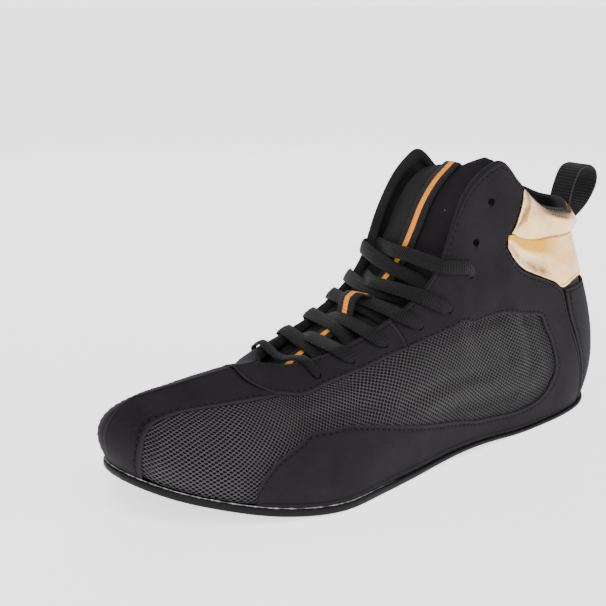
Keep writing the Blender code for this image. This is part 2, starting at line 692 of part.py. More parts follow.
def build_overlay(name, ribs, sides, seams, parts, cutters, finish, fineness=(1, 4), punches=None):
    """An overlay: the layer over the wall, kept where its pattern lies."""
    cutter = pattern(f"{name}_pattern", ribs, sides, cutters, finish, seams, fineness)
    below, above = PATTERN_REACH
    as_cutter(thicken(cutter, -below, above))
    piece = thicken(last_sheet(name, parts, finish), -OVERLAY, 0.0)
    boolean(piece, cutter, "INTERSECT")
    if punches:
        boolean(piece, punches, "DIFFERENCE")


def build_cuff(parts, cutters, finish):
    """The padded roll swells between two larger forms: its own crown and the wall."""
    crown = pattern("heel_cuff_pattern", HEEL_CUFF_RIBS, (LATERAL, MEDIAL), cutters, finish,
                    (1, 0, 1, 0), fineness=CUFF_GRID, swell=CUFF_PAD)
    as_cutter(thicken(crown, -(CUFF_PAD + 2 * OVERLAY), 0.0))
    piece = thicken(last_sheet("heel_cuff", parts, finish), -OVERLAY, 3 * CUFF_PAD)
    boolean(piece, crown, "INTERSECT")


def build_tongue(parts, cutters, finish, hidden):
    """Padded tongue, kept clear of the wall's inner face."""
    front = grid_sheet(*TONGUE_GRID, tongue_face)
    tongue = as_object("tongue", [front], parts, finish)
    group = tongue.vertex_groups.new(name="fullness")
    # a grid's points keep their order, so their shares are read back from a flat grid
    flat = grid_sheet(*TONGUE_GRID, lambda t, w: np.stack((t, w, 0 * t), -1))
    most = TONGUE_THICKNESS * TONGUE_FULLEST
    for vertex in flat.verts:
        depth = float(tongue_depth(np.array([vertex.co.x]), np.array([vertex.co.y]))[0])
        group.add([vertex.index], depth / most, "REPLACE")
    flat.free()
    wall = tongue.modifiers.new("thickness", "SOLIDIFY")
    wall.thickness = most
    wall.offset = -1
    wall.vertex_group = "fullness"
    wall.thickness_vertex_group = 0.0
    keep_out = thicken(last_sheet("wall_keep_out", cutters, hidden),
                       -(OVERLAY + CLEAR + WALL + TONGUE_MARGIN), TONGUE_KEEP_OUT)
    as_cutter(keep_out)
    boolean(tongue, keep_out, "DIFFERENCE")


def build_ribbon(parts, finish):
    """Webbing down the middle of the tongue, lifted once to keep the lace."""
    start, end = KEEPER_SPAN
    shares = (RIBBON_RUN[0], start, start + KEEPER_RAMP, end - KEEPER_RAMP, end, RIBBON_RUN[1])

    def place(t, w):
        run = np.interp(t, RIBBON_STEPS, shares)
        middle, normal = tongue_frame(run)
        point = middle + normal * keeper(run)[..., None]
        point[..., 1] = (w - 0.5) * RIBBON_WIDTH
        return point

    ribbon = as_object("tongue_ribbon", [grid_sheet(RIBBON_COLUMNS, 1, place)], parts, finish)
    thicken(ribbon, -RIBBON_THICKNESS, 0.0)


def build_laces(parts, cutters, finish):
    """Criss-cross flat laces over six pairs of holes, one joined solid."""
    bars = [(LATERAL, 0, LACE_STACK / 2)]
    for pair in range(1, LACED_PAIRS):
        bars.append((LATERAL, pair, LACE_STACK))
        bars.append((MEDIAL, pair, 0.0))
    first = None
    for number, (side, pair, stack) in enumerate(bars):
        path, normals = lace_route(side, pair, stack)
        name = "laces" if first is None else f"lace_bar_{number}"
        where = parts if first is None else cutters
        bar = strip(path, normals, LACE_WIDTH, LACE_THICKNESS, LACE_COLUMNS, name, where, finish)
        if first is None:
            first = bar
        else:
            boolean(first, as_cutter(bar), "UNION")


def build_pull_loop(parts, finish):
    """A teardrop of webbing sewn behind the collar roll."""
    root_x = HEEL_OVERHANG - SECTIONS[0][5] * LENGTH + CUFF_PAD + LOOP_THICKNESS
    root_z = HEEL_HEIGHT - LOOP_SINK * LOOP_HEIGHT
    rounds = list(PULL_LOOP[-2:]) + list(PULL_LOOP) + list(PULL_LOOP[:2])
    knots = np.arange(len(rounds)) - 2
    depth = [row[0] * LOOP_DEPTH for row in rounds]
    height = [row[1] * LOOP_HEIGHT for row in rounds]

    def place(t, w):
        at = t * len(PULL_LOOP)
        x = root_x + smooth(knots, depth, at)
        z = root_z + smooth(knots, height, at)
        return np.stack((x, (w - 0.5) * LOOP_WIDTH, z), -1)

    loop = as_object("pull_loop", [grid_sheet(LOOP_COLUMNS, 1, place)], parts, finish)
    thicken(loop, -LOOP_THICKNESS / 2, LOOP_THICKNESS / 2)


def main():
    for old in list(bpy.data.objects):
        bpy.data.objects.remove(old)
    parts = new_collection("wrestling_shoe")
    cutters = new_collection("cutters")
    rubber = material("rubber", (0.012, 0.012, 0.013), 0.55)
    lining = material("mesh_and_lining", (0.03, 0.03, 0.033), 0.8)
    suede = material("microfibre", (0.014, 0.013, 0.014), 0.75)
    metallic = material("metallic_leather", (0.80, 0.58, 0.33), 0.28, 0.85)
    webbing = material("webbing", (0.012, 0.012, 0.014), 0.7)
    foam = material("insole_cloth", (0.02, 0.02, 0.022), 0.85)

    build_outsole(parts, rubber)
    build_insole(parts, foam)
    punches = build_eyelet_cutter(cutters, lining)
    build_upper(parts, punches, lining)
    both = (LATERAL, MEDIAL)
    build_overlay("toe_cap", TOE_CAP_RIBS, both, (0, 0, 0, 0), parts, cutters, suede)
    build_overlay("eyestay", EYESTAY_RIBS, both, (1, 0, 0, 0), parts, cutters, suede, punches=punches)
    for side, name in ((LATERAL, "quarter_lateral"), (MEDIAL, "quarter_medial")):
        build_overlay(name, QUARTER_RIBS, (side,), (1, 0, 0, 1), parts, cutters, suede, punches=punches)
    build_overlay("heel_counter", COUNTER_RIBS, both, (0, 1, 1, 0), parts, cutters, suede)
    build_overlay("heel_patch", HEEL_PATCH_RIBS, both, (1, 0, 1, 1), parts, cutters, metallic)
    build_cuff(parts, cutters, metallic)
    build_tongue(parts, cutters, suede, lining)
    build_ribbon(parts, webbing)
    build_laces(parts, cutters, webbing)
    build_pull_loop(parts, webbing)


main()
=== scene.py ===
# %% [markdown]
# # Dressing a wrestling shoe from its own last
#
# A shoemaker pulls every piece of a shoe over one wooden form, the last. This lesson does the
# same: one function gives the outer face of the shoe, and mesh, microfibre, gilt leather,
# stitches and laces are all laid on it at their own depth, so that the layers keep their order.
# Lengths are metres. The toe points to -X, the outer side of the left foot is -Y, up is +Z.

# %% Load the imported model
import json

import bpy
import numpy as np
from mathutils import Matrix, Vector
from mathutils.bvhtree import BVHTree

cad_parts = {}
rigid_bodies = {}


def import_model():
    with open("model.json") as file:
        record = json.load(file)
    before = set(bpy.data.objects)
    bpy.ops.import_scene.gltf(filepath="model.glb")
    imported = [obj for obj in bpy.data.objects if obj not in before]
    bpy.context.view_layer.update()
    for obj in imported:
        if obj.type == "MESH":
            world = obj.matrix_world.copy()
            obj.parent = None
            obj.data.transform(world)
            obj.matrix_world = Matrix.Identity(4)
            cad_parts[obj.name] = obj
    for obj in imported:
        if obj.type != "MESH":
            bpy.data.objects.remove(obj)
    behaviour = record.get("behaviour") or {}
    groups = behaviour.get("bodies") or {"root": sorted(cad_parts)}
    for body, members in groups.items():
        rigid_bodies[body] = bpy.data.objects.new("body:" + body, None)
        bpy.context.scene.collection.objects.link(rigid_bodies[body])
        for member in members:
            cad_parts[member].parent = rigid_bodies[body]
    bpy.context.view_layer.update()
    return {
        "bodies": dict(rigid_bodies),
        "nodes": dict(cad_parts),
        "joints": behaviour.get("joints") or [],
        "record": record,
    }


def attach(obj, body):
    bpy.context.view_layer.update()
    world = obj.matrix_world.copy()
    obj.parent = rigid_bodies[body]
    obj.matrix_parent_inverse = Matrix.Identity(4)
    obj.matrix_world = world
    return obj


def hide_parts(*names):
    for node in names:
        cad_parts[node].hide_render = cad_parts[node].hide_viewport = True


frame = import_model()
print("CAD nodes:", sorted(frame["nodes"]))

# %% [markdown]
# ## The shoe's driving sizes
#
# These are the sizes that the solids were built from, repeated here because a scene can only
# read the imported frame. A change of one of them moves every piece that depends on it.

# %% Driving sizes
MM = 0.001
LENGTH = 0.284
BALL_WIDTH = 0.1015
HEEL_WIDTH = 0.066
HEEL_OVERHANG = 0.034
HEEL_HEIGHT = 0.108
ANKLE_HEIGHT = 0.137
INSTEP_HEIGHT = 0.076
TOE_HEIGHT = 0.0515
COLLAR_WIDTH = 0.060
THROAT_WIDTH = 0.044
THROAT_END = 0.755
RIDGE_SHIFT = 0.008
SOLE_THICKNESS = 0.0034
TOE_SPRING = 0.0168
SPRING_START = 0.70
ARCH_HEIGHT = 0.0022
ARCH_SPAN = (0.24, 0.56)
CLEAR = 0.0003
UPPER_INSET = 0.0015
TONGUE_THICKNESS = 0.0066
LATERAL, MEDIAL = -1, 1
BOTH = (LATERAL, MEDIAL)
SIDES = ((LATERAL, "lateral"), (MEDIAL, "medial"))

# Depths of the layers under the shoe's outer face
WALL_FACE = -2.0 * MM
LINING_FACE = -3.7 * MM
INNER_FACE = -4.2 * MM        # the lining with its nap, where collar and tongue meet it
print("shoe:", round(LENGTH / MM), "mm long and", round(BALL_WIDTH / MM, 1), "mm wide at the ball")

# %% [markdown]
# ## Curves through short tables
#
# Each table holds a few stations along the foot. A cubic curve through them gives every place in
# between. The curve's points crowd towards heel and toe, where the outline turns quickly.

# %% Tables of the last
# s, outer half width, inner half width, named width
OUTLINE = (
    (0.00, 0.000, 0.000, HEEL_WIDTH), (0.06, 0.326, 0.341, HEEL_WIDTH),
    (0.14, 0.444, 0.455, HEEL_WIDTH), (0.26, 0.518, 0.485, HEEL_WIDTH),
    (0.38, 0.369, 0.305, BALL_WIDTH), (0.50, 0.407, 0.345, BALL_WIDTH),
    (0.62, 0.477, 0.429, BALL_WIDTH), (0.72, 0.522, 0.478, BALL_WIDTH),
    (0.82, 0.463, 0.478, BALL_WIDTH), (0.90, 0.345, 0.424, BALL_WIDTH),
    (0.96, 0.212, 0.315, BALL_WIDTH), (1.00, -0.074, 0.074, BALL_WIDTH),
)
SOLE_EDGE = ((0.00, 0.62), (0.35, 0.58), (0.50, 0.76), (0.64, 1.00), (1.00, 1.00))
# s, foot_up, foot_out, crown_down, crown_out, top_s, top_y, top_z, height, width
SECTIONS = (
    (0.000, 0.315, 0.148, 0.296, 0.059, 0.085, 0.000, 1.000, HEEL_HEIGHT, COLLAR_WIDTH),
    (0.050, 0.333, 0.128, 0.278, 0.059, 0.125, 0.333, 1.014, HEEL_HEIGHT, COLLAR_WIDTH),
    (0.100, 0.352, 0.099, 0.296, 0.049, 0.165, 0.433, 1.028, HEEL_HEIGHT, COLLAR_WIDTH),
    (0.150, 0.370, 0.069, 0.315, 0.039, 0.213, 0.467, 1.056, HEEL_HEIGHT, COLLAR_WIDTH),
    (0.200, 0.307, 0.049, 0.277, 0.039, 0.253, 0.483, 0.869, ANKLE_HEIGHT, COLLAR_WIDTH),
    (0.250, 0.321, 0.039, 0.321, 0.039, 0.288, 0.500, 0.927, ANKLE_HEIGHT, COLLAR_WIDTH),
    (0.300, 0.321, 0.039, 0.365, 0.049, 0.331, 0.508, 1.000, ANKLE_HEIGHT, COLLAR_WIDTH),
    (0.340, 0.321, 0.039, 0.365, 0.059, 0.368, 0.483, 0.971, ANKLE_HEIGHT, COLLAR_WIDTH),
    (0.380, 0.307, 0.039, 0.321, 0.079, 0.402, 0.467, 0.905, ANKLE_HEIGHT, COLLAR_WIDTH),
    (0.420, 0.292, 0.039, 0.248, 0.099, 0.432, 0.467, 0.796, ANKLE_HEIGHT, COLLAR_WIDTH),
    (0.460, 0.263, 0.039, 0.175, 0.118, 0.466, 0.450, 0.642, ANKLE_HEIGHT, COLLAR_WIDTH),
    (0.510, 0.421, 0.039, 0.184, 0.148, 0.512, 0.568, 1.000, INSTEP_HEIGHT, THROAT_WIDTH),
    (0.580, 0.368, 0.039, 0.132, 0.167, 0.580, 0.500, 0.875, INSTEP_HEIGHT, THROAT_WIDTH),
    (0.660, 0.329, 0.049, 0.079, 0.187, 0.662, 0.409, 0.770, INSTEP_HEIGHT, THROAT_WIDTH),
    (0.720, 0.466, 0.049, 0.097, 0.207, 0.722, 0.273, 1.078, TOE_HEIGHT, THROAT_WIDTH),
    (0.755, 0.466, 0.049, 0.078, 0.217, 0.755, 0.000, 1.068, TOE_HEIGHT, THROAT_WIDTH),
    (0.830, 0.447, 0.049, 0.078, 0.207, 0.830, 0.000, 1.039, TOE_HEIGHT, THROAT_WIDTH),
    (0.910, 0.408, 0.064, 0.078, 0.158, 0.895, 0.000, 1.000, TOE_HEIGHT, THROAT_WIDTH),
    (0.960, 0.369, 0.090, 0.078, 0.118, 0.932, 0.000, 0.971, TOE_HEIGHT, THROAT_WIDTH),
    (1.000, 0.350, 0.100, 0.078, 0.089, 0.955, 0.000, 0.951, TOE_HEIGHT, THROAT_WIDTH),
)
print(len(OUTLINE), "stations of the outline and", len(SECTIONS), "of the wall")


# %% Smooth curves
def place_of(s):
    """Even parameter along the foot, crowded at heel and toe."""
    return np.arccos(1 - 2 * np.clip(s, 0, 1)) / np.pi


def share_of(q):
    return (1 - np.cos(np.pi * q)) / 2


def smooth(knots, values, at, level_ends=False, limited=False):
    """A cubic curve through values. A limited one never swings past them."""
    knots = np.asarray(knots, float)
    values = np.asarray(values, float)
    at = np.clip(np.asarray(at, float), knots[0], knots[-1])
    rises = (values[1:] - values[:-1]) / (knots[1:] - knots[:-1])
    slopes = np.empty_like(values)
    slopes[1:-1] = (values[2:] - values[:-2]) / (knots[2:] - knots[:-2])
    if limited:
        product = rises[1:] * rises[:-1]
        total = np.where(product > 0, rises[1:] + rises[:-1], 1.0)
        slopes[1:-1] = np.where(product > 0, 2 * product / total, 0.0)
    slopes[0] = 0.0 if level_ends else rises[0]
    slopes[-1] = 0.0 if level_ends else rises[-1]
    i = np.clip(np.searchsorted(knots, at, side="right") - 1, 0, len(knots) - 2)
    step = knots[i + 1] - knots[i]
    t = (at - knots[i]) / step
    start = (2 * t**3 - 3 * t**2 + 1) * values[i] + (t**3 - 2 * t**2 + t) * step * slopes[i]
    end = (3 * t**2 - 2 * t**3) * values[i + 1] + (t**3 - t**2) * step * slopes[i + 1]
    return start + end


def column(table, key, q, level_ends=True):
    return smooth([place_of(row[0]) for row in table], [key(row) for row in table], q, level_ends)


print("the throat ends at q =", round(float(place_of(THROAT_END)), 3))

# %% [markdown]
# ## The last
#
# A place on the upper is q, along the foot from heel to toe, and h, up the wall from the sole's
# edge (0) to the collar, throat or ridge (1). One Bezier arch per station joins foot and top. A
# sculpted mesh would do too, but a formula can be asked for any point at any depth.

# %% The sole's outline and levels
def outline(q, side):
    pick = 1 if side == LATERAL else 2
    y = side * column(OUTLINE, lambda row: row[pick] * row[3], q, level_ends=False)
    return np.stack((HEEL_OVERHANG - share_of(q) * LENGTH, y), -1)


def outward(q, side):
    step = 1e-3
    ahead = outline(np.clip(q + step, 0, 1), side) - outline(np.clip(q - step, 0, 1), side)
    normal = np.stack((side * ahead[..., 1], -side * ahead[..., 0]), -1)
    normal[q < step] = (1.0, 0.0)
    normal[q > 1 - step] = (-1.0, 0.0)
    return normal / np.linalg.norm(normal, axis=-1, keepdims=True)


def ground(s):
    """Underside of the sole: flat heel and ball, an arch between, spring at the toe."""
    spring = TOE_SPRING * np.clip((s - SPRING_START) / (1 - SPRING_START), 0, 1) ** 1.9
    start, end = ARCH_SPAN
    return spring + ARCH_HEIGHT * np.sin(np.pi * np.clip((s - start) / (end - start), 0, 1)) ** 2


def sole_top(q):
    edge = smooth([place_of(row[0]) for row in SOLE_EDGE], [row[1] for row in SOLE_EDGE], q)
    return ground(share_of(q)) + SOLE_THICKNESS * edge


print("toe spring:", round(float(ground(1.0)) / MM, 1), "mm")

# %% The outer face of the shoe
RIDGE_START = 0.6             # from here to the toe the ridge shifts towards the big toe


def last(q, h, side):
    q = np.asarray(q, float)
    h = np.asarray(h, float)[..., None]
    normal = outward(q, side)
    out = np.concatenate((normal, 0 * normal[..., :1]), -1)
    foot = np.concatenate((outline(q, side) - normal * UPPER_INSET, sole_top(q)[..., None] + CLEAR), -1)
    foot_up = column(SECTIONS, lambda row: row[1] * row[8], q)[..., None]
    foot_out = column(SECTIONS, lambda row: row[2] * BALL_WIDTH, q)[..., None]
    crown_down = column(SECTIONS, lambda row: row[3] * row[8], q)[..., None]
    crown_out = column(SECTIONS, lambda row: row[4] * BALL_WIDTH, q)[..., None]
    top_x = HEEL_OVERHANG - column(SECTIONS, lambda row: row[5] * LENGTH, q)
    half_gap = column(SECTIONS, lambda row: row[6] * row[9], q, level_ends=False)
    half_gap = np.where(q > place_of(THROAT_END), 0, np.clip(half_gap, 0, None))
    lean = RIDGE_SHIFT * np.clip((share_of(q) - RIDGE_START) / (1 - RIDGE_START), 0, 1) ** 1.5
    top_z = column(SECTIONS, lambda row: row[7] * row[8], q)
    top = np.stack((top_x, side * half_gap + lean, top_z), -1)
    up = np.array((0.0, 0.0, 1.0))
    low = foot + up * foot_up + out * foot_out
    high = top - up * crown_down + out * crown_out
    return (1 - h)**3 * foot + 3 * (1 - h)**2 * h * low + 3 * (1 - h) * h**2 * high + h**3 * top


def last_normal(q, h, side):
    """Outward normal. At the ridge, heel and toe both sides agree on one."""
    step = 2e-3
    along = last(np.clip(q + step, 0, 1), h, side) - last(np.clip(q - step, 0, 1), h, side)
    up_wall = last(q, np.clip(h + step, 0, 1), side) - last(q, np.clip(h - step, 0, 1), side)
    normal = side * np.cross(along, up_wall)
    normal[(q < step) | (q > 1 - step), 1] = 0.0
    normal /= np.linalg.norm(normal, axis=-1, keepdims=True)
    middle = np.clip((q - place_of(THROAT_END)) / 0.01, 0, 1) * np.clip((h - 0.94) / 0.06, 0, 1)
    normal[..., 1] *= 1 - middle**2 * (3 - 2 * middle)
    return normal / np.linalg.norm(normal, axis=-1, keepdims=True)


heel_top = last(np.zeros(1), np.ones(1), MEDIAL)[0]
print("collar at the heel:", round(float(heel_top[2]) / MM, 1), "mm high")

# %% [markdown]
# ## Creases
#
# A worn upper has soft troughs and ridges. Each row below is one of them, placed from (s, h) to
# (s, h), with its half width and its depth in millimetres. A sculpting brush could press them in
# too, but every layer reads this one table, so mesh, microfibre and stitches sink together.

# %% Creases
# side (0 is both), s, h, s, h, half width mm, depth mm (troughs are negative)
CREASES = (
    (0, 0.655, 0.30, 0.600, 0.92, 7.0, -0.7),
    (0, 0.700, 0.35, 0.735, 0.90, 8.0, -0.8),
    (0, 0.745, 0.40, 0.790, 0.95, 7.0, 0.5),
    (LATERAL, 0.300, 0.30, 0.330, 0.52, 4.0, -0.9),
    (LATERAL, 0.262, 0.28, 0.285, 0.50, 3.5, 0.5),
    (LATERAL, 0.235, 0.25, 0.250, 0.46, 3.5, -0.8),
    (LATERAL, 0.370, 0.28, 0.390, 0.50, 5.0, -0.5),
    (0, 0.330, 0.70, 0.430, 0.80, 6.0, -0.9),
    (0, 0.300, 0.62, 0.420, 0.66, 5.0, 0.5),
    (LATERAL, 0.500, 0.20, 0.620, 0.28, 7.0, 0.6),
    (LATERAL, 0.560, 0.08, 0.700, 0.16, 5.0, -0.5),
    (0, 0.170, 0.12, 0.240, 0.22, 6.0, -0.6),
    (0, 0.860, 0.35, 0.880, 0.85, 8.0, -0.4),
    (0, 0.060, 0.30, 0.075, 0.60, 7.0, -0.5),
    (LATERAL, 0.290, 0.150, 0.440, 0.200, 3.0, -1.0),
    (LATERAL, 0.350, 0.225, 0.520, 0.310, 3.2, 0.7),
    (LATERAL, 0.400, 0.290, 0.570, 0.410, 3.2, -1.0),
    (LATERAL, 0.600, 0.480, 0.700, 0.570, 3.5, -0.7),
    (LATERAL, 0.240, 0.180, 0.330, 0.235, 2.8, 0.6),
)
print(len(CREASES), "creases, the deepest", min(row[-1] for row in CREASES), "mm")

# %% [markdown]
# ## The cloth laid flat
#
# Cloth is cut flat and then pulled over the last. To lay a weave at its true scale, or to measure
# an inset in millimetres, the script needs that flat cloth: metres along the foot and up the wall.
# An unwrap in the UV editor would give something like it, but a chart of two lengths is enough.

# %% Flat cloth and creased skin
CHART_COUNT = 201
CHART_LEVEL = 0.45            # the chart runs along the foot at this height of the wall


def wall_length(q, side):
    """Length of the wall up one station, for turning h into metres."""
    levels = np.linspace(0, 1, 9)
    arch = last(np.repeat(q[:, None], 9, 1).ravel(), np.tile(levels, len(q)), side).reshape(-1, 9, 3)
    return np.linalg.norm(np.diff(arch, axis=1), axis=2).sum(1)


CHART = {}
for side in BOTH:
    stations = np.linspace(0, 1, CHART_COUNT)
    run = last(stations, np.full(CHART_COUNT, CHART_LEVEL), side)
    steps = np.linalg.norm(np.diff(run, axis=0), axis=1)
    CHART[side] = (stations, np.concatenate(((0,), np.cumsum(steps))), wall_length(stations, side))


def flatten(q, h, side):
    """The cloth before it was lasted: metres along the foot and up the wall."""
    stations, along, height = CHART[side]
    return np.interp(q, stations, along), h * np.interp(q, stations, height)


def distance_to(u, v, start, end):
    """Distance of flat points to a flat segment."""
    run = np.array(end) - np.array(start)
    share = np.clip(((u - start[0]) * run[0] + (v - start[1]) * run[1]) / (run @ run + 1e-12), 0, 1)
    return np.hypot(u - start[0] - share * run[0], v - start[1] - share * run[1])


def crease(q, h, side):
    u, v = flatten(q, h, side)
    total = np.zeros_like(u)
    for which, s0, h0, s1, h1, half, depth in CREASES:
        if which in (0, side):
            start, end = (flatten(place_of(np.array([s])), np.array([level]), side)
                          for s, level in ((s0, h0), (s1, h1)))
            away = distance_to(u, v, (start[0][0], start[1][0]), (end[0][0], end[1][0]))
            total += depth * MM * np.exp(-(away / (half * MM)) ** 2)
    return total


def skin(q, h, side, offset):
    """A point of the shoe at an offset from its outer face, creases included."""
    lift = np.asarray(offset) + crease(q, h, side)
    return last(q, h, side) + last_normal(q, h, side) * lift[..., None]


print("wall at half length:", round(float(wall_length(np.array([0.5]), LATERAL)[0]) / MM, 1), "mm")

# %% [markdown]
# ## Helpers for pieces
#
# Leather and cloth are sheets. Every sheet starts as Blender's grid primitive, whose points are
# moved to their places. UVs are in metres of cloth, so a weave keeps its scale on every piece.

# %% Sheets from a grid
def deselect():
    if bpy.context.object and bpy.context.object.mode != "OBJECT":
        bpy.ops.object.mode_set(mode="OBJECT")
    bpy.ops.object.select_all(action="DESELECT")


def only(piece):
    deselect()
    piece.select_set(True)
    bpy.context.view_layer.objects.active = piece


def set_uv(piece, across, along):
    layer = piece.data.uv_layers.active or piece.data.uv_layers.new(name="cloth")
    corners = np.empty(len(piece.data.loops), int)
    piece.data.loops.foreach_get("vertex_index", corners)
    values = np.stack((across[corners], along[corners]), -1).astype(np.float32)
    layer.data.foreach_set("uv", values.ravel())


def sheet(name, columns, rows, place, uv=None):
    """A grid primitive with point (t, w), both 0 to 1, moved to place(t, w)."""
    deselect()
    bpy.ops.mesh.primitive_grid_add(x_subdivisions=columns, y_subdivisions=rows, size=1)
    piece = bpy.context.object
    piece.name = piece.data.name = name
    flat = np.empty(len(piece.data.vertices) * 3)
    piece.data.vertices.foreach_get("co", flat)
    flat = flat.reshape(-1, 3)
    t = np.clip(flat[:, 0] + 0.5, 0, 1)
    w = np.clip(flat[:, 1] + 0.5, 0, 1)
    points = place(t, w)
    piece.data.vertices.foreach_set("co", np.asarray(points, float).ravel())
    if uv:
        set_uv(piece, *uv(t, w))
    piece.data.update()
    return piece


print("helpers for sheets are ready")

# %% [markdown]
# ## Helpers that finish a piece
#
# A Solidify modifier, applied at once, gives a sheet its thickness, and edit mode operators merge
# doubles and turn faces outwards. Live modifiers would stay editable, but the export wants the
# final mesh, so each is applied as soon as it is made.

# %% Finishing pieces
def modify(piece, kind, **settings):
    only(piece)
    modifier = piece.modifiers.new(kind.lower(), kind)
    for key, value in settings.items():
        setattr(modifier, key, value)
    bpy.ops.object.modifier_apply(modifier=modifier.name)
    return piece


def edit(piece, *steps):
    """Runs edit mode operators on the whole piece."""
    only(piece)
    bpy.ops.object.mode_set(mode="EDIT")
    bpy.ops.mesh.select_all(action="SELECT")
    for step in steps:
        step()
    bpy.ops.object.mode_set(mode="OBJECT")
    return piece


def flip(piece):
    return edit(piece, bpy.ops.mesh.flip_normals)


def turn_out(piece):
    """Turns the faces of a closed shell outwards."""
    return edit(piece, lambda: bpy.ops.mesh.normals_make_consistent(inside=False))


def face_out(piece):
    """Turns a half's faces away from the shoe's middle."""
    total = sum(face.center.y * face.normal.y * face.area for face in piece.data.polygons)
    return piece if total > 0 else flip(piece)


def close_tube(piece, reach):
    """Merges a tube's seam, fills its two ends and turns its faces outwards."""
    return edit(piece, lambda: bpy.ops.mesh.remove_doubles(threshold=reach),
                lambda: bpy.ops.mesh.select_all(action="DESELECT"),
                bpy.ops.mesh.select_non_manifold,
                lambda: bpy.ops.mesh.fill_holes(sides=0),
                lambda: bpy.ops.mesh.select_all(action="SELECT"),
                lambda: bpy.ops.mesh.normals_make_consistent(inside=False))


def weld(piece, reach=0.02 * MM):
    return edit(piece, lambda: bpy.ops.mesh.remove_doubles(threshold=reach))


def join(pieces, name):
    only(pieces[0])
    for piece in pieces:
        piece.select_set(True)
    if len(pieces) > 1:
        bpy.ops.object.join()
    joined = bpy.context.object
    joined.name = joined.data.name = name
    return joined


print("helpers for finishing are ready")


# %% Handing a piece over
def hand_over(piece, finish, slot, *nodes):
    """Gives a piece its finish and its place in the frame; slot is not used."""
    finishes = finish if isinstance(finish, (list, tuple)) else [finish]
    indices = [min(face.material_index, len(finishes) - 1) for face in piece.data.polygons]
    piece.data.materials.clear()
    for one in finishes:
        piece.data.materials.append(one)
    piece.data.polygons.foreach_set("material_index", indices)
    only(piece)
    bpy.ops.object.shade_smooth()
    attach(piece, "root")
    if nodes:
        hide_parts(*nodes)
    print(piece.name, len(piece.data.polygons), "faces")
    return piece


print("pieces replace", len(frame["nodes"]), "nodes")

# %% [markdown]
# ## Finishes
#
# A finish is a small node tree: a base colour that varies a little, a roughness, and bump from
# noise or waves at the real scale of nap, foil or weave. Patterns that follow the cloth read the
# piece's own UVs; the rest read Object coordinates.

# %% A little node language
class Finish:
    """A material under construction."""

    def __init__(self, name, colour, roughness, metallic=0.0):
        self.material = bpy.data.materials.new(name)
        self.material.use_nodes = True
        self.tree = self.material.node_tree
        self.shader = self.tree.nodes["Principled BSDF"]
        self.shader.inputs["Base Color"].default_value = (*colour, 1)
        self.shader.inputs["Roughness"].default_value = roughness
        self.shader.inputs["Metallic"].default_value = metallic
        self.bump = None
        self.places = self.tree.nodes.new("ShaderNodeTexCoord")

    def set(self, **values):
        for key, value in values.items():
            self.shader.inputs[key.replace("_", " ")].default_value = value
        return self

    def node(self, kind, *inputs, **settings):
        made = self.tree.nodes.new("ShaderNode" + kind)
        for key, value in settings.items():
            setattr(made, key, value)
        for socket, value in inputs:
            target = made.inputs[socket]
            if isinstance(value, bpy.types.NodeSocket):
                self.tree.links.new(value, target)
            else:
                target.default_value = value
        return made

    def place(self):
        return self.places.outputs["Object"]

    def noise(self, scale, detail=3.0, rough=0.6, distortion=0.0):
        made = self.node("TexNoise", ("Vector", self.place()), ("Scale", scale), ("Detail", detail),
                         ("Roughness", rough), ("Distortion", distortion))
        return made.outputs["Fac"]

    def attribute(self, name):
        return self.node("Attribute", attribute_name=name).outputs["Fac"]

    def ramp(self, value, *stops):
        made = self.node("ValToRGB", ("Fac", value))
        stops = sorted(stops)
        made.color_ramp.elements[0].position = stops[0][0]
        made.color_ramp.elements[1].position = stops[-1][0]
        for place, _ in stops[1:-1]:
            made.color_ramp.elements.new(place)
        for element, (_, tone) in zip(made.color_ramp.elements, stops):
            element.color = (*tone, 1) if isinstance(tone, tuple) else (tone, tone, tone, 1)
        return made.outputs["Color"]

    def math(self, operation, a, b=0.0):
        return self.node("Math", (0, a), (1, b), operation=operation).outputs[0]

    def mix(self, share, a, b):
        made = self.node("Mix", (0, share), data_type="RGBA")
        for socket, value in ((made.inputs[6], a), (made.inputs[7], b)):
            if isinstance(value, bpy.types.NodeSocket):
                self.tree.links.new(value, socket)
            else:
                socket.default_value = (*value, 1)
        return made.outputs[2]

    def add_bump(self, height, strength, distance):
        """Stacks one more relief under the shader; distance is in metres."""
        inputs = [("Height", height), ("Strength", strength), ("Distance", distance)]
        if self.bump:
            inputs.append(("Normal", self.bump))
        self.bump = self.node("Bump", *inputs).outputs["Normal"]
        self.tree.links.new(self.bump, self.shader.inputs["Normal"])

    def link(self, value, socket):
        self.tree.links.new(value, self.shader.inputs[socket])

    def split(self, vector):
        made = self.node("SeparateXYZ", ("Vector", vector))
        return made.outputs["X"], made.outputs["Y"]


def tinted(colour, *shares):
    """A colour with each part times its own share, or all parts times one."""
    shares = shares * 3 if len(shares) == 1 else shares
    return tuple(part * share for part, share in zip(colour, shares))


print("a finish can be made; materials so far:", len(bpy.data.materials))

# %% [markdown]
# ## Microfibre
#
# The toe cap, eyestay, quarters and counter are napped microfibre, a black that goes cloudy where
# it was brushed and picks up lint. Noise gives the nap. The cut edges get a painted highlight and
# the seams a painted shade, which the piece's own rim attribute tells: 1 at an edge, -1 in a groove.

# %% Microfibre
LINT_CELLS = 260.0            # per metre
LINT_RARE = 0.992             # cells above this share hold a speck
LINT_SIZE = 0.068             # share of a cell
LINT_COLOUR = (0.22, 0.21, 0.21)


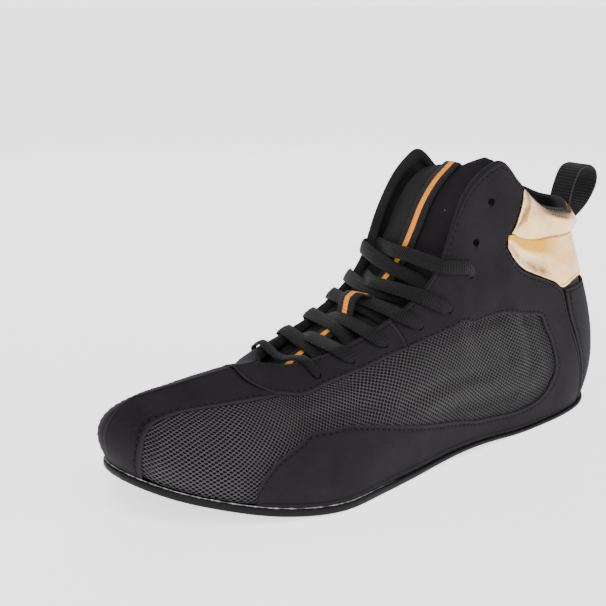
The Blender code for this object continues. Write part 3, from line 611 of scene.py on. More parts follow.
def microfibre(name, tone):
    """Black napped microfibre: a little sheen, cloudy nap and a few specks of lint."""
    made = Finish(name, (tone, tone, tone), 0.85)
    cloud = made.noise(55.0, 4.0, 0.65)
    fine = made.noise(2600.0, 2.0, 0.7)
    black = (tone, tone, tone)
    base = made.ramp(cloud, (0.30, tinted(black, 0.80, 0.68, 0.82)),
                     (0.70, tinted(black, 1.30, 1.12, 1.34)))
    base = made.mix(made.ramp(fine, (0.45, 0.0), (0.75, 0.45)), base, tinted(black, 2.3, 2.0, 2.4))
    # Painted highlight: the lip along every cut edge is made lighter
    rim = made.attribute("rim")
    edge = made.math("MULTIPLY", made.math("MAXIMUM", rim, 0.0), 0.75)
    base = made.mix(edge, base, tinted(black, 2.6, 2.4, 2.7))
    # Painted shade: the stitch groove is made darker
    groove = made.math("MAXIMUM", made.math("MULTIPLY", rim, -0.75), 0.0)
    base = made.mix(groove, base, tinted(black, 0.2))
    cells = made.node("TexVoronoi", ("Vector", made.place()), ("Scale", LINT_CELLS), feature="F1")
    pick = made.node("TexWhiteNoise", ("Vector", cells.outputs["Position"])).outputs["Value"]
    rare = made.math("GREATER_THAN", pick, LINT_RARE)
    near = made.math("LESS_THAN", cells.outputs["Distance"], LINT_SIZE)
    base = made.mix(made.math("MULTIPLY", rare, near), base, LINT_COLOUR)
    made.link(base, "Base Color")
    made.add_bump(fine, 0.35, 0.00012)
    made.add_bump(cloud, 0.25, 0.0005)
    made.set(Sheen_Weight=0.02, Sheen_Roughness=0.4, Specular_IOR_Level=0.10)
    return made.material


suede = microfibre("black_microfibre", 0.0100)
tongue_suede = microfibre("black_tongue_microfibre", 0.0085)
print("microfibre:", len(suede.node_tree.nodes), "nodes")

# %% [markdown]
# ## Cloths
#
# Lining, terry, backing and sewing thread are dull cloths, told apart by how dark and how coarse
# they are. One function makes them all. The knitted mesh has a shinier thread whose sheen makes it
# look paler towards the toe, so that sheen is painted into its colour, read from the place along the
# foot.

# %% Cloths and mesh thread
def plain_cloth(name, colour, roughness, grain=1500.0, sheen=0.1):
    made = Finish(name, colour, roughness)
    cloud = made.noise(90.0, 3.0)
    fine = made.noise(grain, 2.0, 0.7)
    made.link(made.ramp(cloud, (0.3, tinted(colour, 0.7)), (0.7, tinted(colour, 1.5))), "Base Color")
    made.add_bump(fine, 0.5, 0.0002)
    made.set(Sheen_Weight=sheen, Specular_IOR_Level=0.3)
    return made.material


lining = plain_cloth("black_lining", (0.0045, 0.0042, 0.0048), 0.95, 1500.0, 0.0)
thread = plain_cloth("black_thread", (0.004, 0.004, 0.005), 0.8, 3000.0, 0.0)


def knitted(name, dark, light):
    """Shiny thread, dark by the heel and painted paler towards the toe as sheen."""
    made = Finish(name, light, 0.5)
    along, _ = made.split(made.place())
    # Painted sheen: the colour grows paler towards the toe
    toe_sheen = made.math("MULTIPLY", along, -5.0)
    made.link(made.ramp(toe_sheen, (0.15, dark), (0.95, light)), "Base Color")
    made.set(Specular_IOR_Level=0.35)
    return made.material


mesh_thread = knitted("charcoal_mesh_thread", (0.014, 0.012, 0.014), (0.038, 0.034, 0.038))
backing = plain_cloth("mesh_backing", (0.0012, 0.0011, 0.0013), 0.9)
terry = plain_cloth("black_terry", (0.0045, 0.0042, 0.0048), 0.95, 1100.0, 0.02)
footbed = plain_cloth("footbed_cloth", (0.012, 0.012, 0.014), 0.9)
print("cloths:", [cloth.name for cloth in (lining, thread, mesh_thread, backing, terry, footbed)])

# %% [markdown]
# ## Gilt leather
#
# The heel patch and cuff are leather under a thin metal foil. A painted picture could hold its
# painted dark reflections, but noise keeps its scale on both pieces. Its tone wanders from amber to
# champagne, a yellow band follows the patch's upper edge, and blots and its hollow middle are
# painted darker towards the front as dark reflections.

# %% Gilt leather
GILT_AMBER = (0.74, 0.42, 0.14)
GILT_WARM = (0.95, 0.62, 0.29)
GILT_PALE = (1.0, 0.76, 0.46)
GILT_YELLOW = (0.66, 0.31, 0.012)
# Colour of the painted dark reflection
GILT_DARK_REFLECTION = (0.17, 0.078, 0.018)


def gilt(name):
    """Champagne foil on leather. The attribute "across" is 0 at the patch's foot, 1 at its top."""
    made = Finish(name, (0.90, 0.62, 0.33), 0.26, 1.0)
    cloud = made.noise(30.0, 4.0, 0.6, distortion=0.6)
    grain = made.noise(1100.0, 3.0, 0.7)
    pebble = made.node("TexVoronoi", ("Vector", made.place()), ("Scale", 1500.0),
                       feature="SMOOTH_F1").outputs["Distance"]
    tone = made.ramp(cloud, (0.30, GILT_AMBER), (0.5, GILT_WARM), (0.72, GILT_PALE))
    along, _ = made.split(made.place())
    front = made.ramp(made.math("MULTIPLY", along, -20.0), (0.30, 0.0), (0.62, 1.0))
    across = made.attribute("across")
    band = made.ramp(across, (0.66, 0.0), (0.78, 1.0))
    tone = made.mix(made.math("MULTIPLY", band, made.math("ADD", front, 0.10)), tone, GILT_YELLOW)
    # Painted dark reflection: blots, and the patch's hollow middle, darkened towards the front
    patch = made.math("ADD", made.noise(46.0, 2.0), made.math("MULTIPLY", made.noise(700.0, 2.0), 0.35))
    dark_reflection_blots = made.ramp(patch, (0.62, 0.0), (0.90, 0.75))
    middle = made.ramp(across, (0.16, 0.0), (0.42, 1.0), (0.66, 0.0))
    hollow_dark_reflection = made.math("MULTIPLY", middle, made.ramp(patch, (0.50, 0.15), (0.80, 1.0)))
    dark = made.math("MAXIMUM", dark_reflection_blots, hollow_dark_reflection)
    tone = made.mix(made.math("MULTIPLY", dark, front), tone, GILT_DARK_REFLECTION)
    made.link(tone, "Base Color")
    made.link(made.ramp(grain, (0.35, 0.20), (0.70, 0.40)), "Roughness")
    made.add_bump(pebble, 0.3, 0.00015)
    made.add_bump(grain, 0.45, 0.0002)
    made.add_bump(cloud, 0.3, 0.0012)
    made.set(Coat_Weight=0.1, Coat_Roughness=0.25)
    return made.material


gilt_leather = gilt("champagne_gilt_leather")
gilt_thread = plain_cloth("yellow_gilt_thread", (0.62, 0.38, 0.08), 0.4, 3000.0)
print("gilt leather:", len(gilt_leather.node_tree.nodes), "nodes")

# %% [markdown]
# ## Rubber and glue
#
# The sole is matt rubber with a little dust, and the glue line is a clear glue that dried white in
# patches. Both are one noise read by a ramp, once for the colour and once for the relief.

# %% Rubber and glue
RUBBER_CLEAN = (0.0025, 0.0023, 0.0026)
RUBBER_DUSTY = (0.009, 0.008, 0.009)
GLUE_GONE = (0.015, 0.015, 0.016)
GLUE_THICK = (0.30, 0.30, 0.31)


def rubber_finish():
    made = Finish("black_rubber", (0.006, 0.006, 0.007), 0.55)
    dust = made.noise(160.0, 5.0, 0.7)
    made.link(made.ramp(dust, (0.40, RUBBER_CLEAN), (0.85, RUBBER_DUSTY)), "Base Color")
    made.link(made.ramp(dust, (0.35, 0.48), (0.70, 0.72)), "Roughness")
    made.set(Specular_IOR_Level=0.14)
    made.add_bump(made.noise(900.0), 0.3, 0.0002)
    return made.material


def glue_finish():
    made = Finish("dried_glue_line", (0.16, 0.16, 0.165), 0.5)
    patches = made.noise(240.0, 4.0, 0.8)
    made.link(made.ramp(patches, (0.36, GLUE_GONE), (0.62, GLUE_THICK)), "Base Color")
    made.add_bump(patches, 0.5, 0.0004)
    return made.material


rubber = rubber_finish()
glue = glue_finish()
print("rubber and glue:", rubber.name, glue.name)

# %% [markdown]
# ## Webbing and laces
#
# Laces, ribbon and pull loop are narrow weaves with ribs across them. Modelling each rib would
# cost a great many faces, so two sine waves on the band's own UVs give the ribs and the twill, as
# bump and as a painted highlight on the rib tops and a painted shade in the troughs.

# %% Webbing and laces
def ribbed(name, colour, rib, roughness=0.62, rib_highlight=1.9, rib_shade=0.45):
    """Cross-ribbed narrow weave. U runs along the band, V across it, both in metres."""
    made = Finish(name, colour, roughness)
    along, across = made.split(made.places.outputs["UV"])
    wave = made.math("SINE", made.math("MULTIPLY", along, 2 * np.pi / rib))
    twill = made.math("SINE", made.math("MULTIPLY", across, 2 * np.pi / (rib * 0.8)))
    weave = made.math("ADD", made.math("MULTIPLY", wave, 0.35), made.math("MULTIPLY", twill, 0.15))
    weave = made.math("ADD", weave, 0.5)
    # Painted highlight on the rib tops and painted shade in the troughs, from the same waves as the
    # bump
    tone = made.ramp(weave, (0.15, tinted(colour, rib_shade)), (0.85, tinted(colour, rib_highlight)))
    made.link(tone, "Base Color")
    made.add_bump(weave, 0.8, 0.00035)
    made.add_bump(made.noise(2500.0), 0.3, 0.0001)
    made.set(Sheen_Weight=0.03, Specular_IOR_Level=0.14)
    return made.material


lace_weave = ribbed("black_lace_weave", (0.0028, 0.0026, 0.0030), 0.0011, 0.62, 2.4, 0.3)
black_band = ribbed("black_ribbon_weave", (0.0055, 0.0053, 0.0058), 0.0010, 0.62, 2.4)
orange_band = ribbed("orange_ribbon_weave", (1.0, 0.31, 0.015), 0.0010, 0.6, 1.0, 0.75)
loop_weave = ribbed("black_loop_webbing", (0.0050, 0.0050, 0.0056), 0.0014, 0.6, 3.0)
print("materials so far:", len(bpy.data.materials))

# %% [markdown]
# ## Camera
#
# The camera stands where the photograph was taken from. Its place, aim and lens were fitted so
# that the model lies on the photographed shoe.

# %% Camera
CAMERA_PLACE = Vector((-0.4525, -0.4026, 0.2102))
CAMERA_AIM = Vector((-0.1127, 0.0558, 0.0600))
LENS = 67.9
camera_data = bpy.data.cameras.new("camera")
camera = bpy.data.objects.new("camera", camera_data)
bpy.context.collection.objects.link(camera)
camera.location = CAMERA_PLACE
camera.rotation_euler = (CAMERA_AIM - CAMERA_PLACE).to_track_quat("-Z", "Y").to_euler()
camera_data.lens = LENS
camera_data.sensor_width = 36.0
camera_data.clip_start = 0.01
bpy.context.scene.camera = camera
print("camera at", tuple(round(v, 3) for v in CAMERA_PLACE))

# %% [markdown]
# ## Lights and floor
#
# The photograph was taken in a white studio, with hardly a shadow. A picture of a real studio
# could light the scene, but lamps alone need no file: a wide soft sun overhead, three soft boxes
# round the shoe, a sky that is bright at the horizon and dim above, and a glowing floor.

# %% Lights and sky
SOFT_BOXES = (               # name, place, aim, size, power
    ("front_box", (-0.95, -0.75, 0.65), (-0.11, 0.0, 0.05), 0.8, 5.0),
    ("side_box", (0.55, -0.95, 0.55), (-0.05, 0.0, 0.06), 0.7, 4.0),
    ("back_box", (0.35, 0.9, 0.7), (-0.05, 0.0, 0.08), 0.8, 4.0),
)
SUN_FROM = (-0.25, -0.45, 1.0)
SUN_SPREAD = 60               # degrees
HORIZON, OVERHEAD = (0.06, 2.7), (0.30, 0.15)       # upward share of a direction, strength of the sky


def soft_box(name, place, aim, size, power):
    light = bpy.data.lights.new(name, "AREA")
    light.shape = "SQUARE"
    light.size = size
    light.energy = power
    made = bpy.data.objects.new(name, light)
    bpy.context.collection.objects.link(made)
    made.location = place
    made.rotation_euler = (Vector(aim) - Vector(place)).to_track_quat("-Z", "Y").to_euler()


for row in SOFT_BOXES:
    soft_box(*row)

sun = bpy.data.objects.new("overhead_sun", bpy.data.lights.new("overhead_sun", "SUN"))
sun.data.energy = 2.6
sun.data.angle = np.radians(SUN_SPREAD)
sun.rotation_euler = Vector(SUN_FROM).to_track_quat("Z", "Y").to_euler()
bpy.context.collection.objects.link(sun)

world = bpy.data.worlds.new("studio")
bpy.context.scene.world = world
world.use_nodes = True
nodes, links = world.node_tree.nodes, world.node_tree.links
direction = nodes.new("ShaderNodeTexCoord")
split = nodes.new("ShaderNodeSeparateXYZ")
fade = nodes.new("ShaderNodeMapRange")
links.new(direction.outputs["Generated"], split.inputs["Vector"])
links.new(split.outputs["Z"], fade.inputs["Value"])
for socket, value in zip(("From Min", "To Min", "From Max", "To Max"), HORIZON + OVERHEAD):
    fade.inputs[socket].default_value = value
links.new(fade.outputs["Result"], nodes["Background"].inputs["Strength"])
nodes["Background"].inputs["Color"].default_value = (1.0, 1.0, 1.0, 1)
print("lights:", len(SOFT_BOXES) + 1)

# %% Floor
FLOOR_SIZE = 80.0             # wide enough to reach the horizon
FLOOR_GLOW = 1.6

deselect()
bpy.ops.mesh.primitive_plane_add(size=FLOOR_SIZE)
floor = bpy.context.object
floor.name = "floor"
floor_finish = Finish("pale_floor", (0.86, 0.86, 0.86), 0.7)
floor_finish.set(Emission_Color=(1.0, 1.0, 1.0, 1), Emission_Strength=FLOOR_GLOW)
floor_finish.add_bump(floor_finish.noise(40.0), 0.02, 0.0005)
floor.data.materials.append(floor_finish.material)
print("floor:", FLOOR_SIZE, "m wide")

# %% [markdown]
# ## Sole
#
# A wrestling sole is one thin rubber sheet with a rounded lip. It could be a slab with a bevel, but
# its lip is fuller than a quarter circle, so rings of the outline are swept down its side: top
# inner edge, lip, belly and underside. Two flat sheets close it above and below.

# %% Outsole
FILL_INSET = 12.0             # millimetres from the outline to the flat sheets
SOLE_COLUMNS = 150
SOLE_RINGS = (               # share of the height, pulled in from the outline in millimetres
    (1.00, FILL_INSET), (1.00, 0.55), (0.90, 0.12), (0.66, 0.0), (0.36, 0.0), (0.14, 0.16),
    (0.00, 0.75), (0.00, FILL_INSET),
)


def pulled_in(t, side, inset):
    """The outline moved inwards, but never past the foot's middle line."""
    edge = outline(t, side)
    room = np.abs(edge[:, 1]) * 0.8 + 0.2 * MM
    return edge - outward(t, side) * np.minimum(inset, room)[:, None]


def sole_side(side):
    rings = len(SOLE_RINGS) - 1

    def place(t, w):
        level = np.interp(w * rings, np.arange(rings + 1), [row[0] for row in SOLE_RINGS])
        inset = np.interp(w * rings, np.arange(rings + 1), [row[1] for row in SOLE_RINGS]) * MM
        plan = pulled_in(t, side, inset)
        share = (HEEL_OVERHANG - plan[:, 0]) / LENGTH
        low = ground(share)
        high = sole_top(place_of(share))
        return np.column_stack((plan, low + (high - low) * level))

    made = sheet(f"sole_{side}", SOLE_COLUMNS, rings, place)
    return made if side == MEDIAL else flip(made)


def sole_fill(side_up):
    """Underside or top between the two rings, flat across."""
    def place(t, w):
        edges = [pulled_in(t, side, FILL_INSET * MM) for side in BOTH]
        plan = edges[0] * (1 - w[:, None]) + edges[1] * w[:, None]
        share = (HEEL_OVERHANG - plan[:, 0]) / LENGTH
        z = sole_top(place_of(share)) if side_up else ground(share)
        return np.column_stack((plan, z))

    made = sheet(f"sole_fill_{side_up}", SOLE_COLUMNS, 10, place)
    return flip(made) if side_up else made


halves = [sole_side(side) for side in BOTH]
outsole = join(halves + [sole_fill(False), sole_fill(True)], "outsole_rubber")
turn_out(weld(outsole))
hand_over(outsole, rubber, "rubber", "outsole")

# %% [markdown]
# ## Upper wall, lining and footbed
#
# The wall is one shell from the sole to the collar, closed over the toe and open at the throat. Its
# outer face lies under the mesh and the overlays, its inner face is the lining. Each half is a
# sheet laid on the last, so both share the heel and ridge lines and weld without a gap.

# %% Wall
WALL_COLUMNS, WALL_ROWS = 150, 48
THROAT_COLUMN = 0.68          # share of the columns that lie behind the throat's toe end
TOE_RIDGE = ((-1, -0.004, 0.036), (-0.229, 0.020, 1))          # two corners of a box round it


def warp(t):
    """Columns spread so that one of them lies exactly at the throat's toe end."""
    return np.interp(t, (0, THROAT_COLUMN, 1), (0, place_of(THROAT_END), 1))


def on_last(name, side, columns, rows, depth):
    """One side of the last, at a depth, as a sheet."""
    return sheet(name, columns, rows, lambda t, w: skin(warp(t), w, side, np.full_like(t, depth)),
                 uv=lambda t, w: flatten(warp(t), w, side))


def wall_half(side):
    made = on_last(f"wall_{side}", side, WALL_COLUMNS, WALL_ROWS, WALL_FACE)
    return flip(made) if side == LATERAL else made


def relax(piece, low, high, repeat):
    """Evens out the points inside a box, where the surface closes over the toe's ridge."""
    only(piece)
    for vertex in piece.data.vertices:
        vertex.select = all(a < c < b for a, c, b in zip(low, vertex.co, high))
    for face in piece.data.polygons:
        face.select = all(piece.data.vertices[index].select for index in face.vertices)
    for edge in piece.data.edges:
        edge.select = all(piece.data.vertices[index].select for index in edge.vertices)
    bpy.ops.object.mode_set(mode="EDIT")
    bpy.ops.mesh.select_mode(type="VERT")
    bpy.ops.mesh.vertices_smooth(factor=0.5, repeat=repeat)
    bpy.ops.object.mode_set(mode="OBJECT")
    return piece


wall = weld(join([wall_half(side) for side in BOTH], "upper_wall"))
relax(wall, *TOE_RIDGE, 30)
for finish in (backing, lining):
    wall.data.materials.append(finish)
modify(wall, "SOLIDIFY", thickness=WALL_FACE - LINING_FACE, offset=-1, use_quality_normals=True,
       material_offset=1, material_offset_rim=1)
hand_over(wall, [backing, lining], "mesh_and_lining", "upper")

# %% [markdown]
# ## Footbed
#
# Inside lies a thin foam board covered with cloth. It is a sheet between two outlines, pulled in to
# the lining, with its rim sunk a little as a worn board's is.

# %% Footbed
FOOTBED_INSET = 6.2 * MM
FOOTBED_TOP = 2.5 * MM
FOOTBED_THICKNESS = 2.0 * MM
RIM_SINK = 0.6 * MM


def board(t, w):
    edges = [outline(t, side) - outward(t, side) * FOOTBED_INSET for side in BOTH]
    plan = edges[0] * (1 - w[:, None]) + edges[1] * w[:, None]
    share = (HEEL_OVERHANG - plan[:, 0]) / LENGTH
    z = sole_top(place_of(share)) + CLEAR + FOOTBED_TOP
    rim = np.minimum(w, 1 - w) * 4
    return np.column_stack((plan, z - RIM_SINK * np.exp(-rim * 6)))


footbed_piece = sheet("footbed", 90, 14, board)
modify(footbed_piece, "SOLIDIFY", thickness=FOOTBED_THICKNESS, offset=-1)
hand_over(footbed_piece, footbed, "insole_cloth", "insole")


# %% [markdown]
# ## Overlays
#
# An overlay is cut from sheet along a paper pattern. Here a pattern is a list of ribs: each goes
# from a place on one edge to a place on the other. Cutting the outline out of a grid with a
# boolean would leave ragged triangles, while ribs give clean rows that follow both edges.

# %% Side patterns
# s, h on one edge, s, h on the other
QUARTER_RIBS = (             # round the mesh window, from the eyestay back, down and forward
    (0.550, 0.742, 0.553, 1.000), (0.520, 0.723, 0.510, 1.000), (0.490, 0.703, 0.468, 1.000),
    (0.465, 0.683, 0.435, 1.000), (0.448, 0.640, 0.400, 1.000), (0.436, 0.612, 0.365, 1.000),
    (0.427, 0.590, 0.335, 1.000), (0.419, 0.571, 0.305, 1.000), (0.412, 0.551, 0.270, 1.000),
    (0.405, 0.536, 0.238, 0.985), (0.399, 0.528, 0.271, 0.834), (0.391, 0.521, 0.303, 0.744),
    (0.360, 0.506, 0.306, 0.734), (0.320, 0.486, 0.275, 0.664), (0.270, 0.472, 0.235, 0.655),
    (0.225, 0.476, 0.202, 0.650), (0.205, 0.470, 0.160, 0.632), (0.198, 0.430, 0.132, 0.580),
    (0.177, 0.325, 0.127, 0.470), (0.170, 0.229, 0.098, 0.250), (0.182, 0.153, 0.072, 0.000),
    (0.221, 0.092, 0.160, 0.000), (0.294, 0.074, 0.270, 0.000), (0.379, 0.085, 0.370, 0.000),
    (0.491, 0.187, 0.480, 0.000), (0.578, 0.296, 0.570, 0.000), (0.657, 0.410, 0.650, 0.000),
    (0.705, 0.466, 0.700, 0.000), (0.740, 0.448, 0.740, 0.000), (0.767, 0.388, 0.770, 0.000),
    (0.798, 0.331, 0.800, 0.000), (0.832, 0.226, 0.830, 0.000), (0.853, 0.090, 0.850, 0.000),
    (0.856, 0.000, 0.855, 0.000),
)
EYESTAY_RIBS = (             # from the quarter forward, round the bottom of the throat
    (0.543, 0.740, 0.543, 1.000),
    (0.593, 0.763, 0.600, 1.000),
    (0.639, 0.768, 0.645, 1.000),
    (0.685, 0.758, 0.685, 1.000),
    (0.715, 0.728, 0.710, 1.000),
    (0.738, 0.692, 0.728, 1.000),
    (0.756, 0.692, 0.740, 1.000),
    (0.773, 0.750, 0.748, 1.000),
    (0.785, 0.840, 0.752, 1.000),
    (0.789, 0.930, 0.756, 1.000),
    (0.790, 1.000, 0.762, 1.000),
)
print("ribs: quarter", len(QUARTER_RIBS), "eyestay", len(EYESTAY_RIBS))

# %% Toe and heel patterns
TOE_CAP_RIBS = (             # vamp strip, then the cap round the toe
    (0.757, 0.681, 0.762, 0.697),
    (0.775, 0.684, 0.780, 0.760),
    (0.800, 0.688, 0.791, 0.860),
    (0.830, 0.694, 0.795, 1.000),
    (0.865, 0.697, 0.840, 1.000),
    (0.900, 0.688, 0.880, 1.000),
    (0.928, 0.660, 0.920, 1.000),
    (0.950, 0.612, 0.960, 1.000),
    (0.967, 0.500, 1.000, 1.000),
    (0.975, 0.350, 1.000, 0.700),
    (0.981, 0.180, 1.000, 0.400),
    (0.985, 0.000, 1.000, 0.000),
)
HEEL_PATCH_RIBS = (          # lower gilt piece, from its front point to the heel's middle
    (0.298, 0.722, 0.296, 0.750),
    (0.282, 0.688, 0.276, 0.766),
    (0.252, 0.668, 0.246, 0.781),
    (0.202, 0.657, 0.190, 0.811),
    (0.152, 0.633, 0.150, 0.836),
    (0.129, 0.603, 0.128, 0.846),
    (0.095, 0.634, 0.092, 0.855),
    (0.050, 0.650, 0.050, 0.863),
    (0.000, 0.655, 0.000, 0.866),
)
HEEL_CUFF_RIBS = (           # padded roll, from its front edge to the heel's middle
    (0.283, 0.774, 0.230, 1.000),
    (0.246, 0.789, 0.205, 1.000),
    (0.190, 0.820, 0.160, 1.000),
    (0.131, 0.853, 0.110, 1.000),
    (0.060, 0.870, 0.050, 1.000),
    (0.000, 0.874, 0.000, 1.000),
)
COUNTER_RIBS = (             # strip up the back of the heel, from its side seam to the middle
    (0.064, 0.000, 0.000, 0.000),
    (0.090, 0.224, 0.000, 0.200),
    (0.108, 0.362, 0.000, 0.360),
    (0.121, 0.479, 0.000, 0.500),
    (0.123, 0.592, 0.000, 0.642),
)
print("ribs: toe cap", len(TOE_CAP_RIBS), "heel", len(HEEL_PATCH_RIBS), len(HEEL_CUFF_RIBS),
      len(COUNTER_RIBS))

# %% [markdown]
# ## A sewn edge
#
# A cut edge is a small wall, a rounded lip and, two millimetres in, a groove that the stitches pull
# down. A bevel can't make that groove, so rows of points crowd along every real edge, each at its
# own depth, and the rows between are spread over what is left.

# %% Rows of points near an edge
EDGE_STEPS = (0.0, 0.0, 0.15, 0.45, 0.9, 1.5, 1.85, 2.15, 2.5, 3.2, 4.4)      # mm in from an edge
EDGE_DEPTHS = (-1.2, -0.5, -0.10, 0.06, 0.10, 0.04, -0.28, -0.28, -0.02, 0.0, 0.0)  # mm
# Bands of the rim attribute: a painted highlight on the lip, a painted shade in the groove
LIP_HIGHLIGHT_REACH = 1.2               # mm in from an edge that catches light
GROOVE_SHADE_SPAN = (1.8, 2.2)           # mm in from an edge that lies in shade
KINDS = {"start": 0, "middle": 1, "end": 2}


def rib_ends(ribs, t):
    knots = np.linspace(0, 1, len(ribs))
    columns = ([place_of(row[0]) for row in ribs], [row[1] for row in ribs],
               [place_of(row[2]) for row in ribs], [row[3] for row in ribs])
    return [smooth(knots, values, t, limited=True) for values in columns]


def on_pattern(ribs, t, w):
    q0, h0, q1, h1 = rib_ends(ribs, t)
    return np.clip(q0 + (q1 - q0) * w, 0, 1), np.clip(h0 + (h1 - h0) * w, 0, 1)


def edge_rows(real_start, real_end, middle):
    """Row stations: (distance from the start in mm or None, from the end, share between)."""
    first = [(d, depth, "start") for d, depth in zip(EDGE_STEPS, EDGE_DEPTHS)] if real_start else []
    final = [(d, depth, "end") for d, depth in zip(EDGE_STEPS, EDGE_DEPTHS)][::-1] if real_end else []
    inner = [(share, 0.0, "middle") for share in np.linspace(0, 1, middle)]
    if real_start:
        inner = inner[1:]
    if real_end:
        inner = inner[:-1]
    return first + inner + final


def station(rows, index, length, reach=EDGE_STEPS[-1] * MM):
    """Where row stations lie on ribs of these lengths, as shares, and how deep they are."""
    kinds = np.array([KINDS[row[2]] for row in rows])[index]
    value = np.array([row[0] for row in rows])[index]
    depth = np.array([row[1] for row in rows])[index]
    room = np.minimum(1.0, length / (2.4 * reach))
    start = reach * room if rows[0][2] == "start" else 0 * room
    end = reach * room if rows[-1][2] == "end" else 0 * room
    near = value * MM * room
    between = start + value * (length - start - end)
    place = np.where(kinds == 0, near, np.where(kinds == 2, length - near, between))
    return place / length, depth * MM


print("rows along one sewn edge:", len(EDGE_STEPS))

# %% [markdown]
# ## One overlay
#
# Each side of an overlay is a sheet whose columns run along the pattern and whose rows run across
# it. It also writes two attributes for its finish: rim, for the painted highlight on the lip and
# the painted shade in the groove, and across, for bands of colour and the gilt's painted dark
# reflection. A half can be tucked under its neighbour at one end, as leather is skived.

# %% Half of an overlay
NARROWEST_RIB = 0.6 * MM
SOLE_FADE = 0.05              # below this h an edge flattens out, because the sole hides it
OPEN_FADE = 1 / 40            # share of the pattern over which a hidden edge fades out
TUCK_DEPTH = 0.55 * MM
TUCK_RAMP = 0.015


def lip_highlight_and_groove_shade(orders, columns, count):
    """The rim attribute: 1 at a real edge's lip, painted as a highlight, -1 in its groove, painted as
    shade, 0 elsewhere.
    """
    tone = np.zeros(count)
    across, along = np.divmod(np.arange(count), columns)
    for order, spot in zip(orders, (across, along)):
        kind = np.array([row[2] != "middle" for row in order])[spot]
        reach = np.array([row[0] for row in order])[spot]
        tone = np.where(kind & (reach < LIP_HIGHLIGHT_REACH), np.maximum(tone, 1 - reach / LIP_HIGHLIGHT_REACH), tone)
        tone = np.where(kind & (reach > GROOVE_SHADE_SPAN[0]) & (reach < GROOVE_SHADE_SPAN[1]), -1.0, tone)
    return tone, across


def write_attribute(piece, name, values):
    made = piece.data.attributes.new(name, "FLOAT", "POINT")
    made.data.foreach_set("value", values.astype(np.float32))


def overlay_half(name, ribs, side, edges, middle, per_rib, ends_real=None, tuck=None):
    """One side of an overlay. edges says which of first, final, start, end are real edges,
    ends_real between which shares the end edge shows, tuck up to which share it lies under."""
    first, final, start, end = edges
    rows = edge_rows(start, end, middle)
    sides_run = edge_rows(first, final, (len(ribs) - 1) * per_rib)
    lines = np.linspace(0, 1, 60)
    q, h = on_pattern(ribs, lines, np.full(60, 0.5))
    u, v = flatten(q, h, side)
    run_length = np.hypot(np.diff(u), np.diff(v)).sum()
    last_row, last_column = len(rows) - 1, len(sides_run) - 1

    def place(t, w):
        i = np.rint(t * last_column).astype(int)
        j = np.rint(w * last_row).astype(int)
        along, depth_t = station(sides_run, i, np.full(len(t), run_length))
        q0, h0, q1, h1 = rib_ends(ribs, along)
        u0, v0 = flatten(q0, h0, side)
        u1, v1 = flatten(q1, h1, side)
        length = np.maximum(np.hypot(u1 - u0, v1 - v0), NARROWEST_RIB)
        share, depth_w = station(rows, j, length)
        strength = np.clip(np.where(share < 0.5, h0, h1) / SOLE_FADE, 0, 1)
        if ends_real:
            shown = np.clip((ends_real[1] - along) / OPEN_FADE, 0, 1)
            shown = shown * np.clip((along - ends_real[0]) / OPEN_FADE, 0, 1)
            strength = np.where(share < 0.5, strength, strength * shown)
        q = np.clip(q0 + (q1 - q0) * share, 0, 1)
        h = np.clip(h0 + (h1 - h0) * share, 0, 1)
        under = 0.0
        if tuck is not None:
            under = -TUCK_DEPTH * np.clip((tuck + TUCK_RAMP - along) / TUCK_RAMP, 0, 1)
        return skin(q, h, side, np.minimum(depth_w * strength, depth_t) + under)

    def cloth(t, w):
        i = np.rint(t * last_column).astype(int)
        j = np.rint(w * last_row).astype(int)
        along, _ = station(sides_run, i, np.full(len(t), run_length))
        share, _ = station(rows, j, np.full(len(t), 30 * MM))
        return flatten(*on_pattern(ribs, along, share), side)

    made = sheet(f"{name}_{side}", last_column, last_row, place, uv=cloth)
    tone, row = lip_highlight_and_groove_shade((rows, sides_run), last_column + 1, len(made.data.vertices))
    # rim carries the edges' painted highlight and painted shade
    write_attribute(made, "rim", tone)
    write_attribute(made, "across", row / last_row)
    return made


print("an overlay is tucked", round(TUCK_DEPTH / MM, 2), "mm under its neighbour")


# %% [markdown]
# ## Lace holes
#
# The photo's lace holes are bare punched holes. A texture could paint them black, but the laces
# have to pass through, so a punch is set square to the surface at every hole, and a boolean takes
# its plug out of overlay and wall.

# %% Punches
# s, h, s where the lace passes its own edge, s where it dives under the inner edge, the outer edge
EYELETS = (
    (0.699, 0.835, 0.697, 0.697, 0.697), (0.640, 0.862, 0.645, 0.637, 0.662),
    (0.580, 0.858, 0.590, 0.585, 0.615), (0.513, 0.830, 0.535, 0.530, 0.548),
    (0.452, 0.765, 0.492, 0.480, 0.498), (0.392, 0.725, 0.450, 0.445, 0.475),
    (0.372, 0.815, 0.435, 0.440, 0.440), (0.330, 0.900, 0.400, 0.400, 0.400),
)
EYELET_RADIUS = 1.9 * MM
PUNCH_LENGTH = 14 * MM


def punches(side):
    tools = []
    for s, h, *_ in EYELETS:
        q, level = place_of(np.array([s])), np.array([h])
        normal = Vector(last_normal(q, level, side)[0])
        deselect()
        bpy.ops.mesh.primitive_cylinder_add(
            vertices=20, radius=EYELET_RADIUS, depth=PUNCH_LENGTH,
            location=skin(q, level, side, np.zeros(1))[0],
            rotation=normal.to_track_quat("Z", "Y").to_euler())
        bpy.ops.object.transform_apply()
        tools.append(bpy.context.object)
    return join(tools, f"punches_{side}")


def punch(piece, tools):
    for tool in tools:
        modify(piece, "BOOLEAN", operation="DIFFERENCE", object=tool, solver="EXACT")
    return piece


hole_tools = {side: punches(side) for side in BOTH}
print("holes:", len(EYELETS), "on each side,", round(2 * EYELET_RADIUS / MM, 1), "mm wide")

